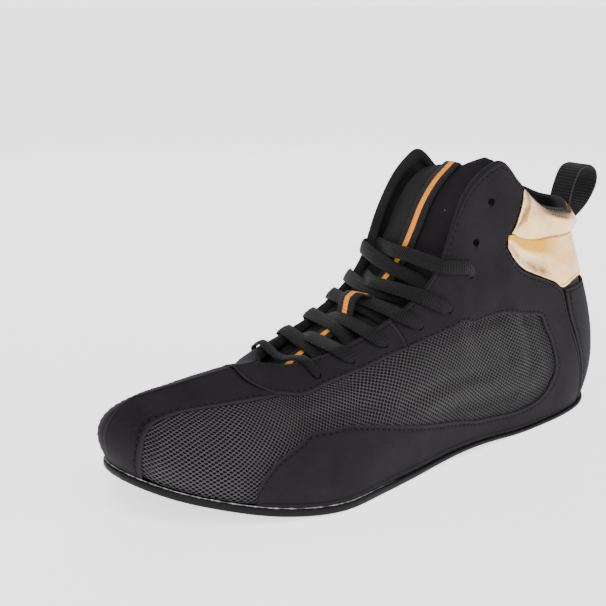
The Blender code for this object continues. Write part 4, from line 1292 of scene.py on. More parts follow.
# %% [markdown]
# ## Cut and lay
#
# The pieces go on from the toe back: toe cap, eyestay, quarters, counter and heel patch. Each
# could be drawn by hand in edit mode, but one function keeps all the edges alike. A Solidify
# modifier gives each its thickness. Real edges are marked 1, and the others meet the other half
# or hide under the next piece.

# %% Cut and lay the overlays
OVERLAY_THICKNESS = 0.3 * MM
CAP_RIDGE = ((-0.250, -0.009, 0.030), (-0.190, 0.020, 1))      # two corners of a box round it
PATCH_TUCK = 0.016            # how much higher the patch goes on under the cuff, as a share h


def overlay(name, ribs, sides, edges, middle, per_rib, **ends):
    halves = [face_out(overlay_half(name, ribs, side, edges, middle, per_rib, **ends))
              for side in sides]
    piece = weld(join(halves, name), 0.03 * MM)
    return modify(piece, "SOLIDIFY", thickness=OVERLAY_THICKNESS, offset=-1)


toe_cap = overlay("toe_cap_microfibre", TOE_CAP_RIBS, BOTH, (0, 0, 1, 1), 12, 9,
                  ends_real=(-1.0, 0.29))
relax(toe_cap, *CAP_RIDGE, 12)
hand_over(toe_cap, suede, "microfibre", "toe_cap")
eyestay = overlay("eyestay_microfibre", EYESTAY_RIBS, BOTH, (0, 0, 1, 1), 8, 9,
                  ends_real=(-1.0, 0.86), tuck=0.017)
hand_over(punch(eyestay, hole_tools.values()), suede, "microfibre", "eyestay")
for side, word in SIDES:
    quarter = overlay(f"quarter_{word}_microfibre", QUARTER_RIBS, (side,), (1, 0, 1, 1), 12, 8)
    hand_over(punch(quarter, [hole_tools[side]]), suede, "microfibre", f"quarter_{word}")
counter = overlay("heel_counter_microfibre", COUNTER_RIBS, BOTH, (0, 1, 1, 0), 12, 16)
hand_over(counter, suede, "microfibre", "heel_counter")
tucked_patch = [(*row[:3], row[3] + PATCH_TUCK) for row in HEEL_PATCH_RIBS]
patch = overlay("heel_patch_gilt", tucked_patch, BOTH, (1, 0, 1, 0), 12, 9)
hand_over(patch, gilt_leather, "metallic_leather", "heel_patch")
punch(wall, hole_tools.values())
for tool in hole_tools.values():
    bpy.data.objects.remove(tool)

# %% [markdown]
# ## Mesh windows
#
# The mesh is knitted: staggered holes with a thread loop round each. A bump map would look flat at
# the shoe's edge, so one cell is modelled from a circle, with its rim raised and its hole turned
# down, and stamped over the window in cloth coordinates.

# %% Stamping one small piece many times
def points_of(piece):
    return np.array([vertex.co for vertex in piece.data.vertices])


def stamp(name, pattern, moved):
    """One mesh of many copies of a pattern; moved holds every copy's points."""
    count, size, _ = moved.shape
    faces = [list(face.vertices) for face in pattern.data.polygons]
    corners = np.concatenate(faces)
    loops = (corners[None] + np.arange(count)[:, None] * size).ravel()
    totals = np.tile([len(face) for face in faces], count)
    mesh = bpy.data.meshes.new(name)
    mesh.vertices.add(count * size)
    mesh.vertices.foreach_set("co", moved.astype(np.float32).ravel())
    mesh.loops.add(len(loops))
    mesh.loops.foreach_set("vertex_index", loops.astype(np.int32))
    mesh.polygons.add(len(totals))
    mesh.polygons.foreach_set("loop_start", (np.cumsum(totals) - totals).astype(np.int32))
    mesh.update(calc_edges=True)
    made = bpy.data.objects.new(name, mesh)
    bpy.context.collection.objects.link(made)
    return made


print("ready to stamp; pieces so far:", len(bpy.data.meshes))

# %% One mesh cell
CELL_ALONG = np.array((1.54, 0.92)) * MM       # from one hole to the next: along, up
CELL_UP = np.array((-0.84, 1.31)) * MM
HOLE_SHARE = 0.87             # width of a hole in cells
CELL_POINTS = 8
CELL_CREST = 0.11 * MM


def mesh_cell():
    """A square ring round an oval hole, in shares of a cell; heights are metres."""
    deselect()
    bpy.ops.mesh.primitive_circle_add(vertices=CELL_POINTS, radius=0.5)
    made = bpy.context.object
    edit(made, bpy.ops.mesh.extrude_edges_move, bpy.ops.mesh.extrude_edges_move)
    angles = np.arange(CELL_POINTS) * 2 * np.pi / CELL_POINTS
    turn = np.column_stack((np.cos(angles), np.sin(angles)))
    rim = turn * 0.5 / np.abs(turn).max(1)[:, None]
    hole = turn * 0.5 * HOLE_SHARE
    levels = (CELL_CREST, CELL_CREST * 0.3 - 0.03 * MM, CELL_CREST * 0.3 - 0.20 * MM)
    rings = np.vstack([np.column_stack((ring, level + 0 * angles))
                       for ring, level in zip((rim, hole, hole * 0.97), levels)])
    made.data.vertices.foreach_set("co", rings.ravel())
    return made


cell = mesh_cell()
print("mesh cell:", len(cell.data.polygons), "faces")

# %% [markdown]
# ## Laying the mesh
#
# A knit pulled round a toe doesn't stay square to the foot, so the flat cloth leans back there. A
# ray from under every cell asks whether an overlay lies over it. Hidden cells are left out, but
# for a border a few millimetres wide, and the mesh swells up gently between its edges.

# %% Where the mesh lies
LEAN_FROM = (0.205, 0.238, 0.257, 0.280)      # metres along the flat cloth
LEAN = (0.0, 0.20, 0.38, 0.52)                # metres back per metre up the wall there
RAY_DEPTH = -1.5 * MM
RAY_REACH = 6 * MM


def tree_of(*pieces):
    """One search tree over several meshes."""
    verts, faces = [], []
    for piece in pieces:
        first = len(verts)
        verts += [vertex.co.copy() for vertex in piece.data.vertices]
        faces += [[index + first for index in face.vertices] for face in piece.data.polygons]
    return BVHTree.FromPolygons(verts, faces)


def unflatten(u, v, side):
    stations, along, height = CHART[side]
    q = np.interp(u, along, stations)
    return q, v / np.interp(q, stations, height)


def drape(u, v, side):
    """Cloth to last: the mesh leans back round the toe, so that its threads stay square there."""
    return unflatten(u - np.interp(u, LEAN_FROM, LEAN) * v, v, side)


def covered(u, v, side, tree):
    """Whether an overlay lies over each flat point."""
    q, h = drape(u, v, side)
    h = np.clip(h, 0, 1)
    feet = skin(q, h, side, np.full_like(q, RAY_DEPTH))
    outs = last_normal(q, h, side)
    return np.array([tree.ray_cast(Vector(foot), Vector(out), RAY_REACH)[0] is not None
                     for foot, out in zip(feet, outs)])


print("the mesh leans up to", LEAN[-1], "at the toe")

# %% Stamp the windows
BORDER = 2.6 * MM             # how far the mesh runs on under an overlay
MESH_AT_EDGE = -1.45          # mm under the shoe's outer face, where an overlay covers it
MESH_SWELL = 0.6              # mm up from there in the middle of a window
SWELL_FROM, SWELL_OVER = 0.6 * MM, 7 * MM
CELLS_ALONG, CELLS_UP = np.arange(-40, 220), np.arange(-110, 80)       # enough for the whole foot


def cell_places(side, tree):
    """Flat centres of the cells that show or border a window, and which of them are covered."""
    i, j = (axis.ravel()[:, None] for axis in np.meshgrid(CELLS_ALONG, CELLS_UP))
    centres = i * CELL_ALONG + j * CELL_UP
    _, along, _ = CHART[side]
    inside = (centres[:, 0] > 0.02) & (centres[:, 0] < along[-1] + 0.018) & (centres[:, 1] > -0.4 * MM)
    centres = centres[inside]
    q, h = drape(*centres.T, side)
    centres = centres[(h < 0.8) & (share_of(q) > 0.15) & (share_of(q) < 0.99)]
    hidden = covered(centres[:, 0], np.maximum(centres[:, 1], 0), side, tree)
    near = [covered(centres[:, 0] + dx, np.maximum(centres[:, 1] + dy, 0.0), side, tree)
            for dx, dy in ((BORDER, 0), (-BORDER, 0), (0, BORDER), (0, -BORDER))]
    seen = ~(hidden & np.all(near, axis=0))
    return centres[seen], hidden[seen]


def mesh_window(side, word, tree):
    centres, hidden = cell_places(side, tree)
    q, h = drape(centres[:, 0], np.maximum(centres[:, 1], 0), side)
    feet = skin(q, h, side, np.full(len(centres), -1.2 * MM))
    away = np.array([tree.find_nearest(Vector(foot))[3] for foot in feet])
    rise = np.where(hidden, 0.0, np.clip((away - SWELL_FROM) / SWELL_OVER, 0, 1))
    shape = points_of(cell)
    flat = centres[:, None] + shape[None, :, :1] * CELL_ALONG + shape[None, :, 1:2] * CELL_UP
    u, v = flat.reshape(-1, 2).T
    q, h = drape(u, np.maximum(v, 0), side)
    lift = np.repeat(rise * rise * (3 - 2 * rise), len(shape))
    depth = (MESH_AT_EDGE + MESH_SWELL * lift) * MM + np.tile(shape[:, 2], len(centres))
    moved = skin(np.clip(q, 0, 1), np.clip(h, 0, 1), side, depth)
    made = stamp(f"mesh_{word}", cell, moved.reshape(len(centres), len(shape), 3))
    made.data.uv_layers.new(name="cloth")
    set_uv(made, u, v)
    weld(made, 0.04 * MM)
    return hand_over(face_out(made), mesh_thread, "mesh_and_lining")


for side, word in SIDES:
    quarter = bpy.data.objects[f"quarter_{word}_microfibre"]
    mesh_window(side, word, tree_of(quarter, eyestay, toe_cap, counter, patch))
bpy.data.objects.remove(cell)

# %% [markdown]
# ## Heel cuff
#
# The cuff is a foam roll under gilt leather, and its inner half is terry cloth. A tube on a curve
# would be round all along, but this roll is thin at the seam and at its front, so its section is
# a formula: from the seam out over the crown, over the collar's edge and down to the lining.

# %% How the top edge rises
def rise_of(q, side):
    """The wall's own upward direction at its top edge."""
    step = last(q, np.ones_like(q), side) - last(q, np.full_like(q, 0.97), side)
    return step / np.linalg.norm(step, axis=-1, keepdims=True)


def step_up(value, start, end):
    ramp = np.clip((value - start) / (end - start), 0, 1)
    return ramp * ramp * (3 - 2 * ramp)


def collar_rise(q, side):
    """The foam stands higher behind the heel and on the inner side, and lower on the outer side."""
    s = share_of(q)
    if side == LATERAL:
        return 3.0 * MM - 5.0 * MM * step_up(s, 0.0, 0.07) + 2.0 * MM * step_up(s, 0.14, 0.22)
    return 3.0 * MM + 3.0 * MM * step_up(s, 0.0, 0.03) - 6.0 * MM * step_up(s, 0.06, 0.20)


back = np.zeros(1)
print("collar behind the heel:", round(float(collar_rise(back, MEDIAL)[0]) / MM, 1), "mm higher")

# %% Heel cuff
CUFF_PAD = 3.6 * MM           # foam over the crown
CUFF_COLUMNS = 90
CUFF_CROWN, CUFF_TURN, CUFF_DROP = 24, 7, 3         # rows up to the crown, over the edge, down inside
CUFF_ROWS = CUFF_CROWN + CUFF_TURN + CUFF_DROP
GILT_ROWS = {LATERAL: CUFF_CROWN - 1, MEDIAL: CUFF_CROWN - 3}      # the rest is terry
CUFF_LINING_DEPTH = 16 * MM


def padding(share):
    """Foam under the leather, from the seam (0) to the crown (1)."""
    return CUFF_PAD * np.sin(np.pi * (0.04 + 0.95 * share)) ** 0.7


def cuff_half(side):
    def place(t, w):
        j = w * CUFF_ROWS
        share = np.clip(j / CUFF_CROWN, 0, 1)
        q0, h0, q1, h1 = rib_ends(HEEL_CUFF_RIBS, t)
        q = np.clip(q0 + (q1 - q0) * share, 0, 1)
        h = h0 + (h1 - h0) * share
        front = np.clip(t / 0.10, 0, 1) ** 0.5
        pad = padding(share) * front
        sag = 0.35 * MM * np.sin(share * 9 + t * 14) * np.sin(np.pi * share) * front
        body = skin(q, h, side, pad + sag - 1.1 * MM * (1 - share) ** 12 - 0.5 * MM * (1 - front))
        turn = np.clip((j - CUFF_CROWN) / CUFF_TURN, 0, 1)[:, None] * np.pi
        normal = last_normal(q, np.ones_like(q), side)
        inner = skin(q, np.ones_like(q), side, np.full_like(q, INNER_FACE))
        edge = skin(q, np.ones_like(q), side, padding(1.0) * front)
        middle = (edge + inner) / 2
        radius = np.linalg.norm(edge - inner, axis=-1, keepdims=True) / 2
        up = rise_of(q, side)
        rolled = middle + normal * np.cos(turn) * radius + up * np.sin(turn) * radius * 0.6
        down = np.clip((j - CUFF_CROWN - CUFF_TURN) / CUFF_DROP, 0, 1)[:, None]
        rolled = rolled - up * down * CUFF_LINING_DEPTH - normal * np.sin(down * 2.6) * 1.2 * MM
        point = np.where((j <= CUFF_CROWN)[:, None], body, rolled)
        point[:, 2] += collar_rise(q, side) * np.clip(share * 1.6 - 0.6, 0, 1) ** 2
        return point

    made = face_out(sheet(f"cuff_{side}", CUFF_COLUMNS, CUFF_ROWS, place))
    for finish in (gilt_leather, terry):
        made.data.materials.append(finish)
    for number, face in enumerate(made.data.polygons):
        face.material_index = int(number // CUFF_COLUMNS > GILT_ROWS[side])
    return made


cuff = weld(join([cuff_half(side) for side in BOTH], "heel_cuff_roll"), 0.05 * MM)
modify(cuff, "SOLIDIFY", thickness=0.8 * MM, offset=-1)
hand_over(cuff, [gilt_leather, terry], "metallic_leather", "heel_cuff")

# %% [markdown]
# ## Collar lining
#
# Forward of the cuff the collar and the throat end in a thin black roll, where the lining is
# turned over the wall's raw edge. It is swept along the top edge as a half round bead.

# %% Collar lining
ROLL_START = 0.17             # s, hidden in the cuff
ROLL_TAPER = 0.03             # share of its length over which each end thins out


def lining_roll(side):
    """A half round bead of lining over the wall's edge, from the cuff to the throat's toe end."""
    start, end = place_of(ROLL_START), place_of(THROAT_END)

    def place(t, w):
        q = start + (end - start) * t
        h = np.ones_like(q)
        thin = np.clip(np.minimum(t, 1 - t) / ROLL_TAPER, 0.15, 1)
        turn = (w * 1.15 - 0.1) * np.pi
        normal = last_normal(q, h, side)
        middle = skin(q, h, side, np.full_like(q, -2.55 * MM))
        out = np.cos(turn) * 1.95 * MM * thin
        over = np.sin(turn) * 1.25 * MM * thin - np.clip(w - 0.85, 0, 1) * 26 * MM
        return middle + normal * out[:, None] + rise_of(q, side) * over[:, None]

    return face_out(sheet(f"lining_roll_{side}", 170, 12, place))


collar = join([lining_roll(side) for side in BOTH], "collar_lining_roll")
modify(collar, "SOLIDIFY", thickness=0.4 * MM, offset=-1)
hand_over(collar, lining, "mesh_and_lining")

# %% [markdown]
# ## Tongue
#
# The tongue is foam under microfibre on its outer half and under terry cloth on its inner half. A
# cube smoothed by subdivision would do for a plain one. This one bends with the throat, so it is a
# closed form swept along it: its face crowns in the middle and its edges wrap back round the foot.
# A boolean trims it where it would reach into the wall.

# %% Tongue profile
RIBBON_WIDTH = 11.0 * MM
RIBBON_THICKNESS = 1.0 * MM
KEEPER_SPAN = (0.333, 0.437)
KEEPER_RAMP = 0.046
KEEPER_LIFT = 7.6 * MM
# share of the length from the toe, height over the edge in thicknesses, half width, thickness, wrap
TONGUE = (
    (0.214, -1.85, 0.150, 0.45, 0.025), (0.296, -1.02, 0.200, 0.53, 0.030),
    (0.325, -0.59, 0.220, 0.68, 0.040), (0.366, -0.18, 0.240, 0.76, 0.055),
    (0.416, 0.10, 0.258, 0.83, 0.070), (0.468, 0.33, 0.270, 0.91, 0.080),
    (0.517, 0.45, 0.277, 0.98, 0.090), (0.548, 0.02, 0.280, 1.05, 0.100),
    (0.567, -0.49, 0.282, 1.05, 0.104), (0.588, -0.46, 0.285, 1.10, 0.100),
    (0.616, -0.45, 0.285, 1.15, 0.096), (0.648, -0.32, 0.272, 0.90, 0.092),
    (0.660, -0.22, 0.255, 0.45, 0.090),
)
TONGUE_KNOTS = np.linspace(0, 1, len(TONGUE))


def edge_height(x):
    """Height of the upper's own edge or ridge above a place x."""
    edge = last(np.linspace(0, 1, 400), np.ones(400), LATERAL)
    return np.interp(x, edge[::-1, 0], edge[::-1, 2])


def tongue_frame(t):
    """Middle line of the tongue's outer face and its outward normal."""
    back = np.array([row[0] for row in TONGUE])
    along = HEEL_OVERHANG - LENGTH * (1 - back)
    up = edge_height(along) + np.array([row[1] for row in TONGUE]) * TONGUE_THICKNESS
    x, z = smooth(TONGUE_KNOTS, along, t), smooth(TONGUE_KNOTS, up, t)
    before, after = np.clip(t - 4e-3, 0, 1), np.clip(t + 4e-3, 0, 1)
    run_x = smooth(TONGUE_KNOTS, along, after) - smooth(TONGUE_KNOTS, along, before)
    run_z = smooth(TONGUE_KNOTS, up, after) - smooth(TONGUE_KNOTS, up, before)
    reach = np.hypot(run_x, run_z)
    return np.stack((x, 0 * x, z), -1), np.stack((-run_z / reach, 0 * run_x, run_x / reach), -1)


def tongue_part(column_number, t):
    return smooth(TONGUE_KNOTS, [row[column_number] for row in TONGUE], t)


tip = tongue_frame(np.ones(1))[0][0]
print("tongue's tip:", round(float(tip[2]) / MM, 1), "mm high")

# %% Tongue form
PANEL_SEAM = 5.6 * MM         # from the middle to the seam beside the ribbon
SEAM_DEPTH, SEAM_HALF = 0.45 * MM, 0.7 * MM
TONGUE_COLUMNS, TONGUE_TURN = 120, 72
TONGUE_TOP = 0.72             # above this share the inner corner rises
CORNER_RISE = 8.0 * MM
TERRY_FROM = 3 * MM           # y where the inner half's terry begins


def tongue_section(t, turn):
    """Points round the tongue: turn 0 to 1 goes over the face, 1 to 2 back under it."""
    middle, normal = tongue_frame(t)
    half = tongue_part(2, t) * BALL_WIDTH
    wrap = tongue_part(4, t) * BALL_WIDTH
    angle = np.pi * (1 - turn)
    across = np.sign(np.cos(angle)) * np.abs(np.cos(angle)) ** 0.62
    thick = tongue_part(3, t) * TONGUE_THICKNESS * (1 - 0.55 * across**4)
    face = np.clip(np.abs(np.sin(angle)), 0, 1) ** 0.5
    ends = np.clip(np.minimum(t, 1 - t) / 0.03, 0, 1) ** 0.5
    depth = np.where(turn <= 1, thick / 2 * (1 - face * ends), thick / 2 * (1 + face * ends))
    y = half * across * (0.9 + 0.1 * ends)
    ditch = np.exp(-((np.abs(y) - PANEL_SEAM) / SEAM_HALF) ** 2) * SEAM_DEPTH * (turn <= 1)
    plump = 0.5 * MM * np.sin(t * 31 + across * 2) * np.exp(-((np.abs(across) - 0.6) / 0.2) ** 2)
    top = np.clip((t - TONGUE_TOP) / (1 - TONGUE_TOP), 0, 1)
    wrap = wrap * np.where(across < 0, 1 - 0.55 * top, 1 - 0.35 * np.clip(t / 0.3, 0, 1))
    point = middle - normal * (wrap * across**2 + depth + ditch - plump * (turn <= 1))[..., None]
    point[..., 2] += CORNER_RISE * top**2 * np.clip(-across * 1.5 - 0.15, 0, 1)
    point[..., 1] = y
    return point - normal * (RIBBON_THICKNESS + 2 * CLEAR)


def tongue_form():
    made = sheet("tongue_pad", TONGUE_COLUMNS, TONGUE_TURN, lambda t, w: tongue_section(t, w * 2),
                 uv=lambda t, w: (t, w))
    return close_tube(made, 0.05 * MM)


def keep_out():
    """A thick shell outside the lining, to be cut away from the tongue."""
    halves = [face_out(on_last(f"keep_out_{side}", side, 110, 20, INNER_FACE)) for side in BOTH]
    block = weld(join(halves, "keep_out"))
    return modify(block, "SOLIDIFY", thickness=16 * MM, offset=1)


tongue = tongue_form()
block = keep_out()
modify(tongue, "BOOLEAN", operation="DIFFERENCE", object=block, solver="EXACT")
bpy.data.objects.remove(block)
hand_over(tongue, [tongue_suede, terry], "tongue_cloth", "tongue")
for face in tongue.data.polygons:
    face.material_index = int(face.center.y > TERRY_FROM)

# %% [markdown]
# ## Ribbon
#
# A woven ribbon runs down the tongue: two black ribbed bands and a bright orange middle. Halfway
# it stands off in a loop that keeps the lace. It is one long sheet laid on the tongue's middle
# line, and its faces take their colour by their distance from that line.

# %% Tongue ribbon
RIBBON_START, RIBBON_END = 0.04, 0.98               # shares of the tongue's length
RIBBON_CLOTH = 0.9 * MM
ORANGE_SHARE = 0.15           # half width of the middle band, as a share of the ribbon


def keeper(t):
    start, end = KEEPER_SPAN
    ramp = np.clip(np.minimum(t - start, end - t) / KEEPER_RAMP, 0, 1)
    return KEEPER_LIFT * ramp**2 * (3 - 2 * ramp)


RIBBON_ROWS = (0.0, 0.04, 0.12, 0.25, 0.34, 0.35, 0.37, 0.50, 0.63, 0.65, 0.66, 0.75, 0.88, 0.96, 1.0)


def ribbon_place(t, w):
    share = np.interp(w, np.linspace(0, 1, len(RIBBON_ROWS)), RIBBON_ROWS)
    run = RIBBON_START + (RIBBON_END - RIBBON_START) * t
    middle, normal = tongue_frame(run)
    bend = 0.35 * MM * np.exp(-((share - 0.5) / 0.14) ** 2) - 0.5 * MM * np.abs(2 * share - 1) ** 6
    point = middle + normal * (keeper(run) + bend)[..., None]
    point[..., 1] = (share - 0.5) * RIBBON_WIDTH
    return point


def ribbon_uv(t, w):
    share = np.interp(w, np.linspace(0, 1, len(RIBBON_ROWS)), RIBBON_ROWS)
    line, _ = tongue_frame(np.linspace(RIBBON_START, RIBBON_END, 400))
    runs = np.concatenate(((0,), np.cumsum(np.linalg.norm(np.diff(line, axis=0), axis=1))))
    return np.interp(t, np.linspace(0, 1, 400), runs), share * RIBBON_WIDTH


ribbon = sheet("tongue_ribbon_weave", 320, len(RIBBON_ROWS) - 1, ribbon_place, uv=ribbon_uv)
modify(ribbon, "SOLIDIFY", thickness=RIBBON_CLOTH, offset=-1)
hand_over(ribbon, [black_band, orange_band], "webbing", "tongue_ribbon")
for face in ribbon.data.polygons:
    face.material_index = int(abs(face.center.y) < ORANGE_SHARE * RIBBON_WIDTH + 0.02 * MM)

# %% [markdown]
# ## Laces
#
# Flat laces criss-cross over six pairs of holes. Each comes up through its hole, lies over its
# own edge, crosses the tongue and dives under the other edge. A bevelled curve keeps one section
# all along, but a real lace gathers where it enters a hole, so each strand is a flattened ring
# swept along a route of few points.

# %% Lace routes
LACE_WIDTH = 6.9 * MM
LACE_THICKNESS = 1.15 * MM
LACED_PAIRS = 6
MIDDLE_LOWER = (0.0, 0.0, 0.0, 0.015, 0.040, 0.028)     # how far a pair slides down the tongue
BAR_WIDTH = 0.62              # the lowest bar is pulled narrow
INSIDE = -2.8 * MM            # depth of a lace behind its hole
ON_OVERLAY = 1.05 * MM
UNDER_EDGE = -5.2 * MM
ABOVE_TONGUE, ABOVE_KEEPER = 1.4 * MM, 0.3 * MM
OVER_OTHER = 1.3 * MM         # the outer side's strand crosses on top


def spot(side, s, h, lift):
    """A point over the shoe and the direction away from it."""
    q, level = place_of(np.array([s])), np.array([h])
    return skin(q, level, side, np.array([lift]))[0], last_normal(q, level, side)[0]


def tongue_at(x):
    shares = np.linspace(0, 1, 400)
    return float(np.interp(x, tongue_frame(shares)[0][:, 0], shares))


def over_tongue(start, end, lift, lower):
    """Where a strand crosses the tongue's middle: on its face, or above it when pulled taut.
    lower slides the place down the tongue."""
    straight = start[0] + (end[0] - start[0]) * start[0][1] / (start[0][1] - end[0][1])
    t = tongue_at(straight[0]) - lower
    centre, facing = tongue_frame(np.array([t]))
    kept = KEEPER_SPAN[0] < t < KEEPER_SPAN[1]
    rest = centre[0] + facing[0] * ((ABOVE_KEEPER if kept else ABOVE_TONGUE) + lift)
    above = max(0.0, 0.0 if kept else float((straight - rest) @ facing[0]))
    return rest + facing[0] * above * 0.6, facing[0], 1.0


def taut(start, edge, end):
    """Lifts the point at the edge to the straight line between its neighbours, never lowers it."""
    run = end[0] - start[0]
    share = np.clip((edge[0] - start[0]) @ run / (run @ run), 0, 1)
    gain = max(0.0, float((start[0] + run * share - edge[0]) @ edge[1]))
    return edge[0] + edge[1] * gain, edge[1], 1.0


def lace_route(side, pair):
    """Points, outward normals and widths of one strand."""
    s, h, edge_s, *far_places = EYELETS[pair]
    far_s = far_places[0 if side == LATERAL else 1]
    hole = [(*spot(side, s, h - 0.012, INSIDE), 0.50), (*spot(side, s, h, 0.1 * MM), 0.66)]
    laid = (*spot(side, s + (edge_s - s) * 0.20, h + (1 - h) * 0.20, ON_OVERLAY), 0.95)
    edge = (*spot(side, edge_s, 1.0, 1.2 * MM), 1.0)
    if pair == 0:
        far_edge = (*spot(-side, s, 1.0, 1.5 * MM), 1.0)
        far = [far_edge, (*spot(-side, s, h + 0.05, ON_OVERLAY), 0.95),
               (*spot(-side, s, h, 0.1 * MM), 0.66), (*spot(-side, s, h - 0.012, INSIDE), 0.5)]
    else:
        far = [(*spot(-side, far_s, 1.0, UNDER_EDGE), 1.0),
               (*spot(-side, far_s + 0.010, 0.88, UNDER_EDGE - 0.4 * MM), 1.0)]
    middle = over_tongue(edge, far[0], OVER_OTHER if side == LATERAL else 0.0, MIDDLE_LOWER[pair])
    strand = hole + [laid, taut(laid, edge, middle), middle] + far
    return [(point, up, wide * (BAR_WIDTH if pair == 0 else 1.0)) for point, up, wide in strand]


print("the lowest bar's route has", len(lace_route(LATERAL, 0)), "points")

# %% [markdown]
# ## A strand swept along its route
#
# The points become a smooth run by a limited cubic curve, which never swings past them as a plain
# one would. A real lace isn't quite even, so its width ripples a little and each strand has its
# own phase.

# %% One strand
LACE_RINGS = 14
LACE_STEP = 0.7 * MM
BELLY = 0.25 * MM             # how much fuller the lace is in its middle
SMALL_TURN = 0.01             # share of a strand over which its direction is measured


def lace_strand(side, pair, number):
    rows = lace_route(side, pair)
    points = np.array([row[0] for row in rows])
    normals = np.array([row[1] for row in rows])
    widths = np.array([row[2] for row in rows])
    steps = np.linalg.norm(np.diff(points, axis=0), axis=1)
    knots = np.concatenate(((0.0,), np.cumsum(steps)))
    length = knots[-1]

    def at(values, t):
        return np.stack([smooth(knots, values[:, i], t * length, limited=True) for i in range(3)], -1)

    def place(t, w):
        middle, facing = at(points, t), at(normals, t)
        ahead = at(points, np.clip(t + SMALL_TURN, 0, 1)) - at(points, np.clip(t - SMALL_TURN, 0, 1))
        aside = np.cross(facing, ahead)
        aside /= np.linalg.norm(aside, axis=-1, keepdims=True)
        up = np.cross(ahead, aside)
        up /= np.linalg.norm(up, axis=-1, keepdims=True)
        wide = smooth(knots, widths, t * length, limited=True)
        turn = 2 * np.pi * w
        ripple = 1 + 0.035 * np.sin(t * length / MM * 2.1 + number)
        x = np.sign(np.cos(turn)) * np.abs(np.cos(turn)) ** 0.75 * LACE_WIDTH / 2 * wide * ripple
        y = np.sin(turn) * LACE_THICKNESS / 2 / np.sqrt(wide)
        belly = BELLY * np.cos(x / (LACE_WIDTH / 2) * 1.5)
        return middle + aside * x[:, None] + up * (y + belly)[:, None]

    def cloth(t, w):
        return t * length, np.abs(w - 0.5) * 2 * LACE_WIDTH

    made = sheet(f"lace_{number}", max(24, int(length / LACE_STEP)), LACE_RINGS, place, uv=cloth)
    return close_tube(made, 0.01 * MM)


# One bar in the lowest pair of holes, then two strands that cross for every pair above it
strands = [lace_strand(LATERAL, 0, 0)]
for pair in range(1, LACED_PAIRS):
    strands += [lace_strand(LATERAL, pair, 2 * pair), lace_strand(MEDIAL, pair, 2 * pair + 1)]
laces = join(strands, "flat_laces")
hand_over(laces, lace_weave, "lace_cloth", "laces")

# %% [markdown]
# ## Pull loop
#
# A teardrop of webbing behind the heel, bent from one strip and sewn at its foot. Here too one
# sheet follows a closed curve through ten places, then gets its thickness and a small bevel.

# %% Heel pull loop
LOOP_LENGTH = 0.078           # of the strip, for the scale of its ribs
LOOP_WIDTH = 13.6 * MM
LOOP_THICKNESS = 1.4 * MM
LOOP_DEPTH, LOOP_HEIGHT, LOOP_SINK = 21.5 * MM, 27.2 * MM, 0.33
PULL_LOOP = ((0.050, 0.040), (0.060, 0.330), (0.170, 0.640), (0.380, 0.930), (0.700, 1.000),
             (0.960, 0.880), (1.000, 0.640), (0.760, 0.330), (0.400, 0.100), (0.150, 0.000))


def loop_place(t, w):
    root_x = HEEL_OVERHANG - SECTIONS[0][5] * LENGTH + CUFF_PAD + LOOP_THICKNESS
    root_z = HEEL_HEIGHT - LOOP_SINK * LOOP_HEIGHT
    rounds = list(PULL_LOOP[-2:]) + list(PULL_LOOP) + list(PULL_LOOP[:2])
    knots = np.arange(len(rounds)) - 2
    at = t * len(PULL_LOOP)
    x = root_x + smooth(knots, [row[0] * LOOP_DEPTH for row in rounds], at)
    z = root_z + smooth(knots, [row[1] * LOOP_HEIGHT for row in rounds], at)
    return np.stack((x, (w - 0.5) * LOOP_WIDTH, z), -1)


loop = sheet("pull_loop_webbing", 120, 12, loop_place,
             uv=lambda t, w: (t * LOOP_LENGTH, w * LOOP_WIDTH))
weld(loop, 0.05 * MM)
modify(loop, "SOLIDIFY", thickness=LOOP_THICKNESS, offset=0, use_even_offset=True)
modify(loop, "BEVEL", width=0.35 * MM, segments=2, limit_method="ANGLE", angle_limit=np.radians(50))
hand_over(loop, loop_weave, "webbing", "pull_loop")

# %% [markdown]
# ## Stitches
#
# Every seam is a row of short threads that dip into the material at both ends. An array modifier
# on a curve would turn them off the surface, so one stitch is shaped from a sphere and stamped
# along paths that keep their distance from a pattern's edge and lie on the shoe.

# %% One stitch
STITCH_LENGTH, STITCH_PITCH, STITCH_RADIUS = 2.2 * MM, 3.1 * MM, 0.36 * MM
STITCH_DEPTH = -0.12 * MM     # of a stitch's middle under the shoe's outer face


def one_stitch():
    deselect()
    bpy.ops.mesh.primitive_uv_sphere_add(segments=6, ring_count=6, radius=1, rotation=(0, np.pi / 2, 0))
    bpy.ops.object.transform_apply()
    made = bpy.context.object
    points = points_of(made)
    across = STITCH_RADIUS * points[:, 1:] * (1 - 0.25 * points[:, :1] ** 2)
    points = np.column_stack((points[:, 0] * STITCH_LENGTH / 2, across))
    points[:, 2] -= 0.35 * MM * (points[:, 0] / (STITCH_LENGTH / 2)) ** 4
    made.data.vertices.foreach_set("co", points.ravel())
    return made


stitch = one_stitch()
print("one stitch:", len(stitch.data.polygons), "faces")


# %% Rows of stitches
def seam_path(ribs, side, end, inset, first, final):
    """q and h along a pattern's edge (end 0 or 1), a distance inside it."""
    t = np.linspace(first, final, 240)
    q0, h0, q1, h1 = rib_ends(ribs, t)
    u0, v0 = flatten(q0, h0, side)
    u1, v1 = flatten(q1, h1, side)
    share = np.clip(inset / np.maximum(np.hypot(u1 - u0, v1 - v0), inset * 2.2), 0, 0.45)
    share = share if end == 0 else 1 - share
    return np.clip(q0 + (q1 - q0) * share, 0, 1), np.clip(h0 + (h1 - h0) * share, 0, 1)


